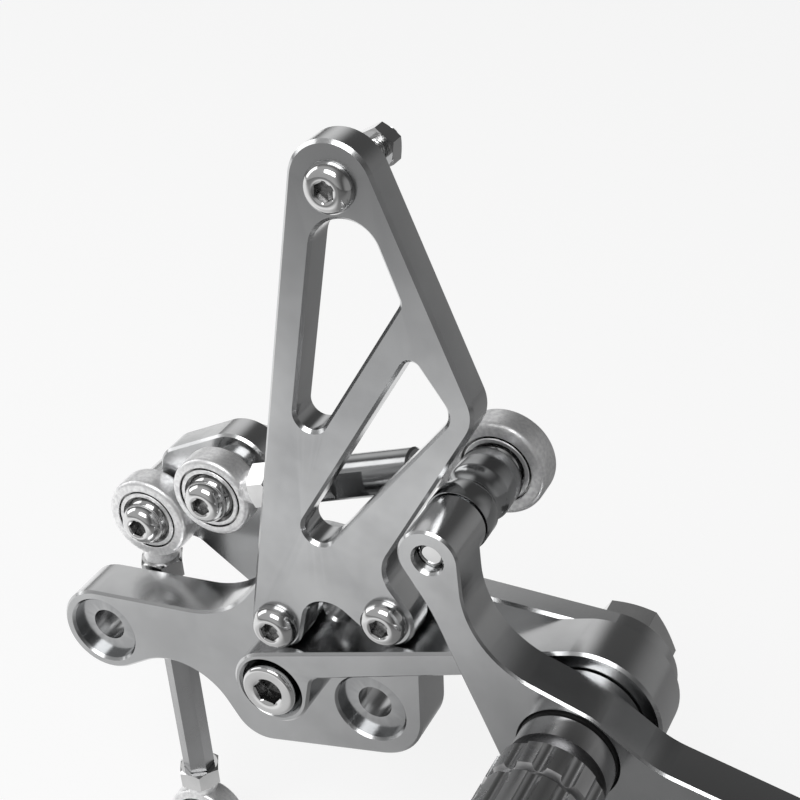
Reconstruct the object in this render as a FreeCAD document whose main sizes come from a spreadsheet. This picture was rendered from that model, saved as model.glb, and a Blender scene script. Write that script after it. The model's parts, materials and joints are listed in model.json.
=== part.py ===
import FreeCAD, Part
import math
import os
import re
import Sketcher

# Rear set footrest, the right-hand side unit of a motorcycle, in millimetres.
# +X is forward, +Y is inward to the motorcycle's frame and +Z is up.
# The origin is on the axis of the rear frame bolt, on the hanger's inner face.
# Plates lie across Y, so every outline is drawn in X and Z, and each plate is
# padded from its inner face outward, which is towards -Y.

PLATE_SIZES = [
    ("hanger_thickness", 12.0, "hanger plate"),
    ("hanger_relief", 6.0, "metal taken off the hanger's inner face behind the pivot"),
    ("hanger_relief_start", 93.0, "forward distance where that relief begins"),
    ("plate_chamfer", 0.6, "edge break on the front of the flat plates"),
    ("frame_bolt_radius", 4.2, "clearance hole for a frame bolt"),
    ("frame_seat_radius", 8.5, "counterbore for the frame bolt's head"),
    ("frame_seat_depth", 2.5, "depth of that counterbore"),
    ("front_mount_x", 72.0, "front frame bolt, forward of the rear one"),
    ("front_mount_z", 2.0, "front frame bolt, above the rear one"),
    ("rear_eye_radius", 11.2, "hanger round the rear frame bolt"),
    ("front_eye_radius", 13.0, "hanger round the front frame bolt"),
    ("waist_x", 22.0, "scoop in the top of the hanger's rear arm"),
    ("waist_z", 36.8, "scoop centre height"),
    ("waist_radius", 22.5, "scoop radius"),
    ("shoulder_x", 57.5, "hanger shoulder behind the heel guard"),
    ("shoulder_z", 33.0, "shoulder centre height"),
    ("shoulder_radius", 9.0, "shoulder radius"),
    ("pivot_x", 127.0, "foot lever pivot and foot peg"),
    ("pivot_z", 30.7, "foot lever pivot height"),
    ("hanger_pivot_radius", 12.9, "hanger round the pivot"),
    ("belly_x", 99.0, "scoop under the hanger's front arm"),
    ("belly_z", 15.5, "scoop centre height"),
    ("belly_radius", 14.5, "scoop radius"),
    ("keel_x", 44.0, "lower corner of the hanger"),
    ("keel_z", -9.0, "lower corner centre height"),
    ("keel_radius", 9.0, "lower corner radius"),
    ("arch_x", 20.5, "scoop under the hanger's rear arm"),
    ("arch_z", -19.0, "scoop centre height"),
    ("arch_radius", 16.0, "scoop radius"),
    ("spare_hole_x", 64.3, "spare tapped hole between the guard's feet"),
    ("spare_hole_z", 27.9, "spare tapped hole height"),
    ("peg_plate_thickness", 12.0, "peg plate"),
    ("peg_plate_radius", 15.2, "peg plate round the pivot"),
    ("tail_x", 53.2, "screw that holds the peg plate's tail"),
    ("tail_z", 10.5, "tail screw height"),
    ("tail_radius", 9.3, "peg plate round the tail screw"),
    ("tail_corner_x", 66.2, "inner corner beside the tail"),
    ("tail_corner_z", 14.6, "inner corner centre height"),
    ("tail_corner_radius", 3.0, "inner corner radius"),
    ("rail_end_x", 103.4, "inner corner under the rail's front end"),
    ("rail_end_z", 23.8, "inner corner centre height"),
    ("rail_end_radius", 8.0, "inner corner radius"),
    ("tail_seat_depth", 6.5, "counterbore for the tail screw's head"),
    ("tail_seat_gap", 0.9, "room round that head"),
]

GUARD_SIZES = [
    ("guard_thickness", 7.0, "heel guard"),
    ("guard_standoff", 3.0, "spacers between hanger and guard"),
    ("guard_chamfer", 0.7, "edge break on the guard's front"),
    ("guard_apex_x", 70.0, "screw at the guard's top"),
    ("guard_apex_z", 134.6, "top screw height"),
    ("guard_apex_radius", 9.2, "guard round the top screw"),
    ("guard_rear_foot_x", 54.3, "rear foot screw"),
    ("guard_rear_foot_z", 27.6, "rear foot screw height"),
    ("guard_front_foot_x", 80.6, "front foot screw"),
    ("guard_front_foot_z", 37.5, "front foot screw height"),
    ("guard_rear_foot_radius", 6.2, "rear foot"),
    ("guard_front_foot_radius", 6.6, "front foot"),
    ("guard_arch_x", 67.4, "arch between the feet"),
    ("guard_arch_z", 31.2, "arch centre height"),
    ("guard_arch_radius", 6.1, "arch radius"),
    ("guard_throat_x", 88.4, "hollow above the front foot"),
    ("guard_throat_z", 50.8, "hollow centre height"),
    ("guard_throat_radius", 7.8, "hollow radius"),
    ("guard_nose_x", 91.0, "forward corner of the guard"),
    ("guard_nose_z", 92.0, "forward corner centre height"),
    ("guard_nose_radius", 8.4, "forward corner radius"),
    ("upper_window_top_x", 72.8, "upper window, top corner"),
    ("upper_window_top_z", 121.2, "top corner centre height"),
    ("upper_window_top_radius", 7.2, "top corner radius"),
    ("upper_window_low_x", 64.3, "upper window, bottom corner"),
    ("upper_window_low_z", 83.8, "bottom corner centre height"),
    ("upper_window_low_radius", 3.4, "bottom corner radius"),
    ("upper_window_side_x", 81.6, "upper window, forward corner"),
    ("upper_window_side_z", 113.5, "forward corner centre height"),
    ("upper_window_side_radius", 2.2, "forward corner radius"),
    ("lower_window_top_x", 86.3, "lower window, top corner"),
    ("lower_window_top_z", 99.6, "top corner centre height"),
    ("lower_window_top_radius", 1.8, "top corner radius"),
    ("lower_window_low_x", 65.4, "lower window, bottom corner"),
    ("lower_window_low_z", 56.3, "bottom corner centre height"),
    ("lower_window_low_radius", 3.5, "bottom corner radius"),
    ("lower_window_side_x", 90.0, "lower window, forward corner"),
    ("lower_window_side_z", 91.2, "forward corner centre height"),
    ("lower_window_side_radius", 4.0, "forward corner radius"),
]

LEVER_SIZES = [
    ("lever_gap", 2.5, "from the peg plate's face to the lever's arm"),
    ("lever_thickness", 10.0, "foot lever arm"),
    ("lever_hub_boss", 2.0, "boss on the lever's inner face round the pivot"),
    ("lever_tip_boss", 3.4, "boss on the lever's inner face at its top"),
    ("lever_back_x", 125.5, "rear lower round of the lever's hub"),
    ("lever_back_z", 29.5, "its centre height"),
    ("lever_back_radius", 13.5, "its radius"),
    ("lever_tip_x", 96.6, "bolt that joins the lever to the link rod"),
    ("lever_tip_z", 68.2, "link bolt height"),
    ("lever_tip_radius", 6.5, "lever round the link bolt"),
    ("lever_front_scoop_x", 124.6, "hollow in front of the lever's upper arm"),
    ("lever_front_scoop_z", 65.2, "its centre height"),
    ("lever_front_scoop_radius", 21.0, "its radius"),
    ("lever_rear_scoop_x", 63.6, "hollow behind the lever's upper arm"),
    ("lever_rear_scoop_z", 36.2, "its centre height"),
    ("lever_rear_scoop_radius", 39.0, "its radius"),
    ("toe_x", 214.0, "toe peg"),
    ("toe_z", 12.0, "toe peg height"),
    ("toe_eye_radius", 8.0, "lever round the toe peg's screw"),
    ("arm_top_x", 152.0, "hollow over the forward arm"),
    ("arm_top_z", 52.5, "its centre height"),
    ("arm_top_radius", 20.0, "its radius"),
    ("arm_low_x", 150.0, "hollow under the forward arm"),
    ("arm_low_z", 2.0, "its centre height"),
    ("arm_low_radius", 19.0, "its radius"),
    ("link_bolt_depth", 2.0, "from the lever's face to the link bolt's end"),
    ("bush_wall", 1.5, "wall of a lever bush"),
    ("bush_flange_width", 0.9, "how far its flange stands past that wall"),
    ("lever_hub_wall", 2.1, "lever round the bushes"),
    ("bush_flange_thickness", 1.4, "flange of a lever bush"),
    ("bush_flange_recess", 1.0, "how deep a flange sits in the lever"),
    ("journal_radius", 8.0, "pivot spindle where the lever turns"),
    ("running_clearance", 0.05, "radial room in a running fit"),
    ("hub_end_float", 0.1, "end play of the lever on its spindle"),
    ("spindle_spigot_radius", 6.0, "spindle where it enters the peg plate"),
    ("spindle_stud_radius", 5.0, "stud that clamps the spindle to the hanger"),
    ("pivot_nut_flats", 17.0, "nut on that stud, across its flats"),
    ("pivot_nut_height", 8.0, "nut on that stud"),
    ("pivot_washer_radius", 10.5, "washer under that nut"),
    ("pivot_washer_thickness", 1.6, "washer under that nut"),
]

PEG_SIZES = [
    ("peg_length", 86.0, "foot peg grip and root"),
    ("peg_radius", 11.5, "foot peg grip"),
    ("peg_root_radius", 10.3, "foot peg where it meets the spindle"),
    ("peg_root_length", 6.0, "plain root of the foot peg"),
    ("peg_neck_radius", 8.4, "groove behind the root"),
    ("peg_neck_length", 3.0, "groove behind the root"),
    ("peg_flute_count", 12.0, "flutes round the grip"),
    ("peg_flute_radius", 1.6, "one flute"),
    ("peg_ring_count", 6.0, "grooves along the grip"),
    ("peg_ring_width", 2.2, "one groove at the surface"),
    ("peg_ring_depth", 1.2, "one groove"),
    ("peg_bolt_engagement", 11.0, "that bolt in the spindle"),
    ("end_cap_radius", 13.0, "slider on the foot peg's end"),
    ("end_cap_length", 11.0, "slider on the foot peg's end"),
    ("end_cap_seat", 8.5, "how deep the bolt's head sits in the slider"),
    ("toe_peg_radius", 7.0, "toe peg"),
    ("toe_peg_length", 28.0, "toe peg"),
    ("toe_peg_groove_count", 5.0, "grooves round the toe peg"),
]

LINK_SIZES = [
    ("ring_two_x", 26.5, "rear end of the link rod on the bell crank"),
    ("ring_two_z", 40.5, "its height"),
    ("ring_one_x", 5.55, "top of the drop rod on the bell crank"),
    ("ring_one_z", 25.3, "its height"),
    ("link_plane", 1.5, "middle plane of the link rod, inward of the hanger's face"),
    ("drop_plane", 5.7, "middle plane of the drop rod"),
    ("crank_pivot_x", 41.0, "bell crank pivot"),
    ("crank_pivot_z", 12.0, "bell crank pivot height"),
    ("crank_thickness", 8.0, "bell crank"),
    ("crank_eye_radius", 9.8, "bell crank round the link rod's end"),
    ("crank_low_eye_radius", 8.4, "bell crank round the drop rod's end"),
    ("crank_hub_radius", 10.0, "bell crank round its pivot"),
    ("crank_shoulder_x", 11.5, "shoulder of the bell crank's upper arm"),
    ("crank_shoulder_z", 36.5, "its centre height"),
    ("crank_shoulder_radius", 6.0, "its radius"),
    ("crank_saddle_radius", 1.4, "notch between that shoulder and the drop rod's eye"),
    ("crank_nook_x", 13.2, "inner corner below the drop rod's eye"),
    ("crank_nook_z", 12.2, "its centre height"),
    ("crank_nook_radius", 5.0, "its radius"),
    ("crank_bush_radius", 6.2, "bush in the bell crank"),
    ("crank_journal_radius", 5.0, "post where the bell crank turns"),
    ("crank_post_radius", 7.5, "post between hanger and bell crank"),
    ("crank_post_spigot", 4.0, "post where it enters the hanger"),
    ("crank_post_depth", 9.0, "how far the post enters the hanger"),
    ("rod_eye_radius", 10.0, "rod end head of the two rear rods"),
    ("front_eye_extra", 0.9, "how much larger the link rod's front head is"),
    ("drop_eye_extra", 0.6, "how much larger the drop rod's upper head is"),
    ("rod_eye_width", 7.2, "width of a rod end's head"),
    ("ball_radius", 6.35, "ball of a rod end"),
    ("ball_width", 9.0, "width of that ball"),
    ("link_opening", 0.1, "room left round the rear ball of the link rod"),
    ("rod_thread_radius", 3.0, "thread of rods, rod ends and small screws"),
    ("rod_neck_radius", 4.3, "neck of a rod end"),
    ("rod_neck_length", 12.5, "from the ball to the end of the neck"),
    ("front_neck_length", 16.5, "the same at the link rod's front end"),
    ("rod_thread_engagement", 12.0, "thread inside a rod"),
    ("link_thread_showing", 4.0, "thread in view at the link rod's front end"),
    ("link_barrel_radius", 5.0, "link rod"),
    ("link_barrel_flats", 8.0, "spanner flats on the link rod"),
    ("link_flats_length", 9.0, "spanner flats on the link rod"),
    ("link_flats_start", 17.0, "from the link rod's rear end to its flats"),
    ("small_nut_flats", 10.0, "nuts of the small screws and rods"),
    ("small_nut_height", 5.0, "the same nuts"),
    ("lock_nut_height", 6.0, "self-locking nuts"),
    ("drop_rod_length", 62.0, "six-sided drop rod"),
    ("drop_rod_flats", 7.0, "drop rod across its flats"),
    ("drop_rod_lean", 5.0, "degrees that the drop rod leans forward"),
    ("collar_radius", 6.8, "turned spacer at the lever"),
    ("collar_hollow_radius", 3.7, "hollow that forms its waist"),
    ("collar_end_radius", 6.9, "turned spacer at the ball"),
]

SCREW_SIZES = [
    ("thread_clearance", 0.02, "room between a screw and its tapped hole"),
    ("button_radius", 5.25, "button head of the small screws"),
    ("button_height", 3.3, "button head of the small screws"),
    ("apex_screw_radius", 2.5, "screw at the guard's top"),
    ("apex_head_radius", 5.15, "its head"),
    ("apex_head_height", 2.8, "its head"),
    ("apex_screw_length", 26.0, "its shank"),
    ("apex_nut_flats", 8.0, "nut near its end"),
    ("apex_nut_height", 4.0, "nut near its end"),
    ("link_head_height", 4.0, "hexagon head of the link bolt"),
    ("apex_nut_place", 18.5, "from the guard's face to that nut"),
    ("cap_screw_radius", 4.0, "tail screw and peg bolt"),
    ("cap_head_radius", 6.5, "their heads"),
    ("cap_head_height", 8.0, "their heads"),
    ("cap_socket", 6.0, "hexagon socket across its flats"),
]

document = FreeCAD.newDocument("RearSet")
sizes = document.addObject("Spreadsheet::Sheet", "Sizes")
all_sizes = PLATE_SIZES + GUARD_SIZES + LEVER_SIZES + PEG_SIZES + LINK_SIZES + SCREW_SIZES
for row, (alias, amount, note) in enumerate(all_sizes, start=1):
    sizes.set(f"A{row}", note)
    sizes.set(f"B{row}", str(amount))
    sizes.setAlias(f"B{row}", alias)
document.recompute()


def bound(text):
    """Turn words of the sheet into a full expression."""
    return re.sub(r"\b[a-z][a-z_]+\b(?!\()", lambda word: "Sizes." + word.group(0), text)


def number(text):
    """Value of an expression written with the sheet's words."""
    return float(sizes.evalExpression(bound(text)))


# Planes across Y, each as an expression
HANGER_FACE = "(-hanger_thickness)"
PEG_PLATE_FACE = "(-hanger_thickness - peg_plate_thickness)"
GUARD_BACK = "(-hanger_thickness - guard_standoff)"
GUARD_FACE = f"({GUARD_BACK} - guard_thickness)"
LEVER_BACK = f"({PEG_PLATE_FACE} - lever_gap)"
LEVER_FACE = f"({LEVER_BACK} - lever_thickness)"
HUB_BACK = f"({LEVER_BACK} + lever_hub_boss)"
PEG_ROOT = f"({LEVER_FACE} - bush_flange_thickness + bush_flange_recess - hub_end_float)"
TIP_BACK = f"({LEVER_BACK} + lever_tip_boss)"
CRANK_FACE = "(drop_plane + ball_width / 2)"
CRANK_BACK = f"({CRANK_FACE} + crank_thickness)"

RUNNING = "running_clearance"
TAPPED = "rod_thread_radius + thread_clearance"
BUSH_RADIUS = "(journal_radius + bush_wall)"
FLANGE_RADIUS = f"({BUSH_RADIUS} + bush_flange_width)"
HUB_RADIUS = f"({BUSH_RADIUS} + lever_hub_wall)"


def new_body(name):
    body = document.addObject("PartDesign::Body", name)
    body.Label = name
    return body


def origin_feature(body, role):
    return next(item for item in body.Origin.OriginFeatures if item.Role == role)


def new_sketch(body, plane="XZ_Plane", level="0"):
    """Sketch on one of the body's origin planes; level is its place along Y."""
    sketch = body.newObject("Sketcher::SketchObject", body.Name + "_sketch")
    sketch.AttachmentSupport = (origin_feature(body, plane), "")
    sketch.MapMode = "FlatFace"
    if plane == "XZ_Plane":
        sketch.setExpression("AttachmentOffset.Base.z", f"-({bound(level)})")
    return sketch


def fix_size(sketch, kind, geometry, text, point=None):
    """Add one size to a sketch and bind it to the sheet."""
    amount = number(text)
    if point is None:
        index = sketch.addConstraint(Sketcher.Constraint(kind, geometry, amount))
    else:
        index = sketch.addConstraint(Sketcher.Constraint(kind, -1, 1, geometry, point, amount))
    sketch.setExpression(f"Constraints[{index}]", bound(text))


def add_circle(sketch, place, radius):
    """Circle at an (x, z) pair of expressions."""
    centre = FreeCAD.Vector(number(place[0]), number(place[1]), 0)
    index = sketch.addGeometry(Part.Circle(centre, FreeCAD.Vector(0, 0, 1), number(radius)))
    fix_size(sketch, "DistanceX", index, place[0], 3)
    fix_size(sketch, "DistanceY", index, place[1], 3)
    fix_size(sketch, "Radius", index, radius)


def add_outline(sketch, stops):
    """Closed outline of straight runs between rounds.

    Each stop is (x, z, radius, turn), taken anticlockwise round the metal:
    turn is 1 where the outline bulges and -1 where it is hollow.
    """
    rounds = [(number(x), number(z), number(radius), turn) for x, z, radius, turn in stops]
    count = len(rounds)
    runs = []
    for index, (x, z, radius, turn) in enumerate(rounds):
        next_x, next_z, next_radius, next_turn = rounds[(index + 1) % count]
        reach = math.hypot(next_x - x, next_z - z)
        bearing = math.atan2(next_z - z, next_x - x)
        bearing -= math.asin((next_turn * next_radius - turn * radius) / reach)
        side = FreeCAD.Vector(-math.sin(bearing), math.cos(bearing), 0)
        start = FreeCAD.Vector(x, z, 0) - side * (turn * radius)
        end = FreeCAD.Vector(next_x, next_z, 0) - side * (next_turn * next_radius)
        runs.append((start, end))
    lines = [sketch.addGeometry(Part.LineSegment(start, end)) for start, end in runs]
    arcs = []
    for index, (x, z, radius, turn) in enumerate(rounds):
        entry = runs[index - 1][1]
        leave = runs[index][0]
        if turn < 0:
            entry, leave = leave, entry
        first = math.atan2(entry.y - z, entry.x - x)
        last = math.atan2(leave.y - z, leave.x - x)
        if last < first:
            last += 2 * math.pi
        circle = Part.Circle(FreeCAD.Vector(x, z, 0), FreeCAD.Vector(0, 0, 1), radius)
        arcs.append(sketch.addGeometry(Part.ArcOfCircle(circle, first, last)))
    for index, (x, z, radius, turn) in enumerate(stops):
        entry_end, leave_end = (1, 2) if turn > 0 else (2, 1)
        sketch.addConstraint(Sketcher.Constraint("Tangent", lines[index - 1], 2, arcs[index], entry_end))
        sketch.addConstraint(Sketcher.Constraint("Tangent", arcs[index], leave_end, lines[index], 1))
        fix_size(sketch, "DistanceX", arcs[index], x, 3)
        fix_size(sketch, "DistanceY", arcs[index], z, 3)
        fix_size(sketch, "Radius", arcs[index], radius)


def stop(stem, turn=1):
    """Round whose place and radius have one stem in the sheet."""
    return (f"{stem}_x", f"{stem}_z", f"{stem}_radius", turn)


def pad(body, sketch, length):
    feature = body.newObject("PartDesign::Pad", body.Name + "_pad")
    feature.Profile = sketch
    feature.setExpression("Length", bound(length))
    sketch.Visibility = False
    document.recompute()
    return feature


def pocket(body, level, draw, depth=None):
    """Cut from a level inward, towards +Y, as deep as given or right through."""
    sketch = new_sketch(body, "XZ_Plane", level)
    draw(sketch)
    feature = body.newObject("PartDesign::Pocket", body.Name + "_pocket")
    feature.Profile = sketch
    if depth is None:
        feature.Type = "ThroughAll"
    else:
        feature.setExpression("Length", bound(depth))
    before = body.Shape.Volume
    document.recompute()
    if body.Shape.Volume >= before:
        raise ValueError(f"{body.Name}: a pocket cuts nothing")
    return feature


def drill(body, level, place, radius, depth=None):
    return pocket(body, level, lambda sketch: add_circle(sketch, place, radius), depth)


def break_edges(body, level, size):
    """Chamfer every edge that lies in the plane y = level."""
    base = body.Tip
    plane = number(level)
    names = []
    for index, edge in enumerate(base.Shape.Edges, start=1):
        box = edge.BoundBox
        if abs(box.YMin - plane) < 1e-4 and abs(box.YMax - plane) < 1e-4:
            names.append(f"Edge{index}")
    feature = body.newObject("PartDesign::Chamfer", body.Name + "_edge_break")
    feature.Base = (base, names)
    feature.setExpression("Size", bound(size))
    document.recompute()


def plate(name, back, thickness, stops):
    body = new_body(name)
    sketch = new_sketch(body, "XZ_Plane", back)
    add_outline(sketch, stops)
    pad(body, sketch, thickness)
    return body


def place_of(stem):
    return (f"{stem}_x", f"{stem}_z")


def add_loop(sketch, stops):
    """Closed loop through (x, y) points.

    A point may carry a third and fourth entry, radius and turn, when the edge
    that arrives at it is an arc: turn 1 is anticlockwise and -1 clockwise.
    """
    points = [FreeCAD.Vector(number(stop[0]), number(stop[1]), 0) for stop in stops]
    edges = []
    for index, stop in enumerate(stops):
        begin = points[index - 1]
        end = points[index]
        if len(stop) == 2:
            edges.append((sketch.addGeometry(Part.LineSegment(begin, end)), 1, 2))
            continue
        radius = number(stop[2])
        turn = stop[3]
        chord = end - begin
        left = FreeCAD.Vector(-chord.y, chord.x, 0).normalize()
        centre = (begin + end) * 0.5 + left * (turn * math.sqrt(radius ** 2 - chord.Length ** 2 / 4))
        first = math.atan2(begin.y - centre.y, begin.x - centre.x)
        last = math.atan2(end.y - centre.y, end.x - centre.x)
        if turn < 0:
            first, last = last, first
        if last < first:
            last += 2 * math.pi
        arc = sketch.addGeometry(Part.ArcOfCircle(Part.Circle(centre, FreeCAD.Vector(0, 0, 1), radius), first, last))
        edges.append((arc, 1, 2) if turn > 0 else (arc, 2, 1))
    for index, stop in enumerate(stops):
        edge, begin, end = edges[index]
        following, following_begin, following_end = edges[(index + 1) % len(edges)]
        sketch.addConstraint(Sketcher.Constraint("Coincident", edge, end, following, following_begin))
        fix_size(sketch, "DistanceX", edge, stop[0], end)
        fix_size(sketch, "DistanceY", edge, stop[1], end)
        if len(stop) > 2:
            fix_size(sketch, "Radius", edge, stop[2])


def revolve(body, sketch, axis="Y_Axis", kind="PartDesign::Revolution"):
    feature = body.newObject(kind, body.Name + "_turning")
    feature.Profile = sketch
    feature.ReferenceAxis = (origin_feature(body, axis), [""])
    feature.Angle = 360
    document.recompute()
    return feature


def put(body, place, plane="0", angle=0.0):
    """Move a body that was drawn round its own centre, turned about Y by angle degrees."""
    body.Placement.Rotation = FreeCAD.Rotation(FreeCAD.Vector(0, 1, 0), angle)
    body.setExpression("Placement.Base.x", bound(place[0]))
    body.setExpression("Placement.Base.y", bound(plane))
    body.setExpression("Placement.Base.z", bound(place[1]))
    document.recompute()
    return body


def turned(name, profile, place):
    """Turned piece. profile is a closed loop of (radius, y) points; its axis is +Y."""
    body = new_body(name)
    sketch = new_sketch(body, "XY_Plane")
    add_loop(sketch, profile)
    revolve(body, sketch)
    return put(body, place)


def tube(name, inner, outer, start, end, place):
    return turned(name, [(inner, start), (outer, start), (outer, end), (inner, end)], place)


def hexagon(sketch, flats, turn=0.0):
    """Regular hexagon round the sketch's centre; turn is where its first corner lies."""
    reach = number(flats) / math.sqrt(3)
    corners = [FreeCAD.Vector(reach * math.cos(turn + math.pi * step / 3),
                              reach * math.sin(turn + math.pi * step / 3), 0) for step in range(6)]
    ring = sketch.addGeometry(Part.Circle(FreeCAD.Vector(0, 0, 0), FreeCAD.Vector(0, 0, 1), reach), True)
    edges = [sketch.addGeometry(Part.LineSegment(corners[step], corners[(step + 1) % 6])) for step in range(6)]
    for step in range(6):
        sketch.addConstraint(Sketcher.Constraint("Coincident", edges[step], 2, edges[(step + 1) % 6], 1))
        sketch.addConstraint(Sketcher.Constraint("PointOnObject", edges[step], 2, ring))
        if step:
            sketch.addConstraint(Sketcher.Constraint("Equal", edges[0], edges[step]))
    sketch.addConstraint(Sketcher.Constraint("Angle", edges[0], turn + math.radians(120)))
    sketch.addConstraint(Sketcher.Constraint("Coincident", ring, 3, -1, 1))
    fix_size(sketch, "Radius", ring, f"({flats}) / sqrt(3)")


def socket(body, level, flats, depth, facing=-1):
    """Hexagon socket cut into a head whose end is at this level."""
    sketch = new_sketch(body, "XZ_Plane", level)
    hexagon(sketch, flats)
    feature = body.newObject("PartDesign::Pocket", body.Name + "_socket")
    feature.Profile = sketch
    feature.Reversed = facing > 0
    feature.setExpression("Length", bound(depth))
    document.recompute()


def button_screw(name, seat, length, place, facing=-1, stem="button"):
    """Screw with a domed head that rests on y = seat; facing is the way the head looks along Y."""
    ahead, behind = ("-", "+") if facing < 0 else ("+", "-")
    shank = "apex_screw_radius" if stem == "apex_head" else "rod_thread_radius"
    end = f"({seat}) {behind} ({length})"
    top = f"({seat}) {ahead} {stem}_height"
    body = turned(name, [
        ("0", end), (f"{shank} - 0.6", end), (shank, f"({end}) {ahead} 0.6"), (shank, seat),
        (f"{stem}_radius", seat), (f"{stem}_radius", f"({seat}) {ahead} {stem}_height * 0.15"),
        (f"{stem}_radius * 0.55", top, f"{stem}_radius * 0.7", facing), ("0", top)], place)
    socket(body, top, f"{stem}_radius * 0.76", f"{stem}_height * 0.6", facing)
    return body


def cap_screw(name, seat, length, place):
    """Socket cap screw whose head rests on y = seat and faces -Y."""
    top = f"({seat} - cap_head_height)"
    body = turned(name, [
        ("0", f"{seat} + {length}"), ("cap_screw_radius - 0.8", f"{seat} + {length}"),
        ("cap_screw_radius", f"{seat} + {length} - 0.8"), ("cap_screw_radius", seat),
        ("cap_head_radius", seat), ("cap_head_radius", f"{top} + 0.7"), ("cap_head_radius - 0.7", top),
        ("0", top)], place)
    socket(body, top, "cap_socket", "cap_head_height * 0.5")


def trim_corners(body, flats, start, end, axis="Y_Axis"):
    """Chamfer the corners at both ends of a hexagon that lies along its axis."""
    corner = f"{flats} / sqrt(3)"
    sketch = new_sketch(body, "XY_Plane")
    for level, into in ((start, "+"), (end, "-")):
        rows = [(f"{flats} * 0.49", level), (f"{corner} + 0.5", level),
                (f"{corner} + 0.5", f"{level} {into} ({corner} + 0.5 - {flats} * 0.49) * 0.5")]
        if axis == "X_Axis":
            rows = [(along, radius) for radius, along in rows]
        add_loop(sketch, rows)
    revolve(body, sketch, axis, "PartDesign::Groove")


def nut(name, start, height, flats, place, bore=TAPPED, turn=0.0):
    """Hexagon nut from y = start inward; turn is where its first corner lies."""
    body = new_body(name)
    sketch = new_sketch(body, "XZ_Plane", f"{start} + {height}")
    hexagon(sketch, flats, turn)
    pad(body, sketch, height)
    drill(body, start, ("0", "0"), bore)
    trim_corners(body, flats, start, f"{start} + {height}")
    return put(body, place)


# Hanger plate
def hanger_plate():
    body = plate("hanger_plate", "0", "hanger_thickness", [
        ("0", "0", "rear_eye_radius", 1),
        stop("arch", -1),
        stop("keel"),
        ("front_mount_x", "front_mount_z", "front_eye_radius", 1),
        stop("belly", -1),
        ("pivot_x", "pivot_z", "hanger_pivot_radius", 1),
        stop("shoulder"),
        stop("waist", -1),
    ])
    for place in (("0", "0"), place_of("front_mount")):
        drill(body, HANGER_FACE, place, "frame_bolt_radius")
        drill(body, HANGER_FACE, place, "frame_seat_radius", "frame_seat_depth")
    for stem in ("guard_rear_foot", "guard_front_foot", "spare_hole"):
        drill(body, HANGER_FACE, place_of(stem), TAPPED)
    drill(body, HANGER_FACE, place_of("tail"), "cap_screw_radius + thread_clearance")
    drill(body, HANGER_FACE, place_of("pivot"), "spindle_stud_radius + thread_clearance")
    drill(body, "-crank_post_depth", place_of("crank_pivot"), "crank_post_spigot + thread_clearance")
    relief = new_sketch(body)
    reach = "hanger_pivot_radius + 1"
    add_loop(relief, [
        ("hanger_relief_start", f"pivot_z - ({reach})"), (f"pivot_x + {reach}", f"pivot_z - ({reach})"),
        (f"pivot_x + {reach}", f"pivot_z + {reach}"), ("hanger_relief_start", f"pivot_z + {reach}")])
    cut = body.newObject("PartDesign::Pocket", "hanger_relief_cut")
    cut.Profile = relief
    cut.Reversed = True
    cut.setExpression("Length", bound("hanger_relief"))
    document.recompute()
    break_edges(body, HANGER_FACE, "plate_chamfer")


hanger_plate()

# Peg plate: a tail boss, a slender rail and the round that carries the pivot
def peg_plate():
    body = plate("peg_plate", HANGER_FACE, "peg_plate_thickness", [
        stop("tail"),
        stop("tail_corner", -1),
        stop("rail_end", -1),
        ("pivot_x", "pivot_z", "peg_plate_radius", 1),
    ])
    drill(body, PEG_PLATE_FACE, place_of("tail"), "cap_screw_radius + thread_clearance")
    drill(body, PEG_PLATE_FACE, place_of("tail"), "cap_head_radius + tail_seat_gap", "tail_seat_depth")
    drill(body, PEG_PLATE_FACE, place_of("pivot"), "spindle_spigot_radius + thread_clearance")
    break_edges(body, PEG_PLATE_FACE, "plate_chamfer")


peg_plate()


# Heel guard with its two windows
def heel_guard():
    body = plate("heel_guard", GUARD_BACK, "guard_thickness", [
        stop("guard_apex"),
        ("guard_rear_foot_x", "guard_rear_foot_z", "guard_rear_foot_radius", 1),
        stop("guard_arch", -1),
        ("guard_front_foot_x", "guard_front_foot_z", "guard_front_foot_radius", 1),
        stop("guard_throat", -1),
        stop("guard_nose"),
    ])
    for stem in ("upper_window", "lower_window"):
        corners = [stop(f"{stem}_top"), stop(f"{stem}_low"), stop(f"{stem}_side")]
        pocket(body, GUARD_FACE, lambda sketch, corners=corners: add_outline(sketch, corners))
    for stem in ("guard_rear_foot", "guard_front_foot"):
        drill(body, GUARD_FACE, place_of(stem), "rod_thread_radius + 0.3")
    drill(body, GUARD_FACE, place_of("guard_apex"), "apex_screw_radius + thread_clearance")
    break_edges(body, GUARD_FACE, "guard_chamfer")


heel_guard()


# Screws, spacers and nut of the heel guard
def guard_fasteners():
    for end in ("rear", "front"):
        foot = place_of(f"guard_{end}_foot")
        tube(f"guard_spacer_{end}", "rod_thread_radius + 0.2", "guard_rear_foot_radius - 0.4",
             GUARD_BACK, HANGER_FACE, foot)
        button_screw(f"guard_screw_{end}", GUARD_FACE,
                     "guard_thickness + guard_standoff + hanger_thickness - 1", foot)
    apex = place_of("guard_apex")
    button_screw("apex_screw", GUARD_FACE, "apex_screw_length", apex, stem="apex_head")
    nut("apex_nut", f"{GUARD_FACE} + apex_nut_place", "apex_nut_height", "apex_nut_flats", apex,
        "apex_screw_radius + thread_clearance", math.pi / 6)


guard_fasteners()
cap_screw("peg_plate_screw", f"({PEG_PLATE_FACE} + tail_seat_depth)",
          "(hanger_thickness + peg_plate_thickness - tail_seat_depth - 1)", place_of("tail"))


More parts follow.
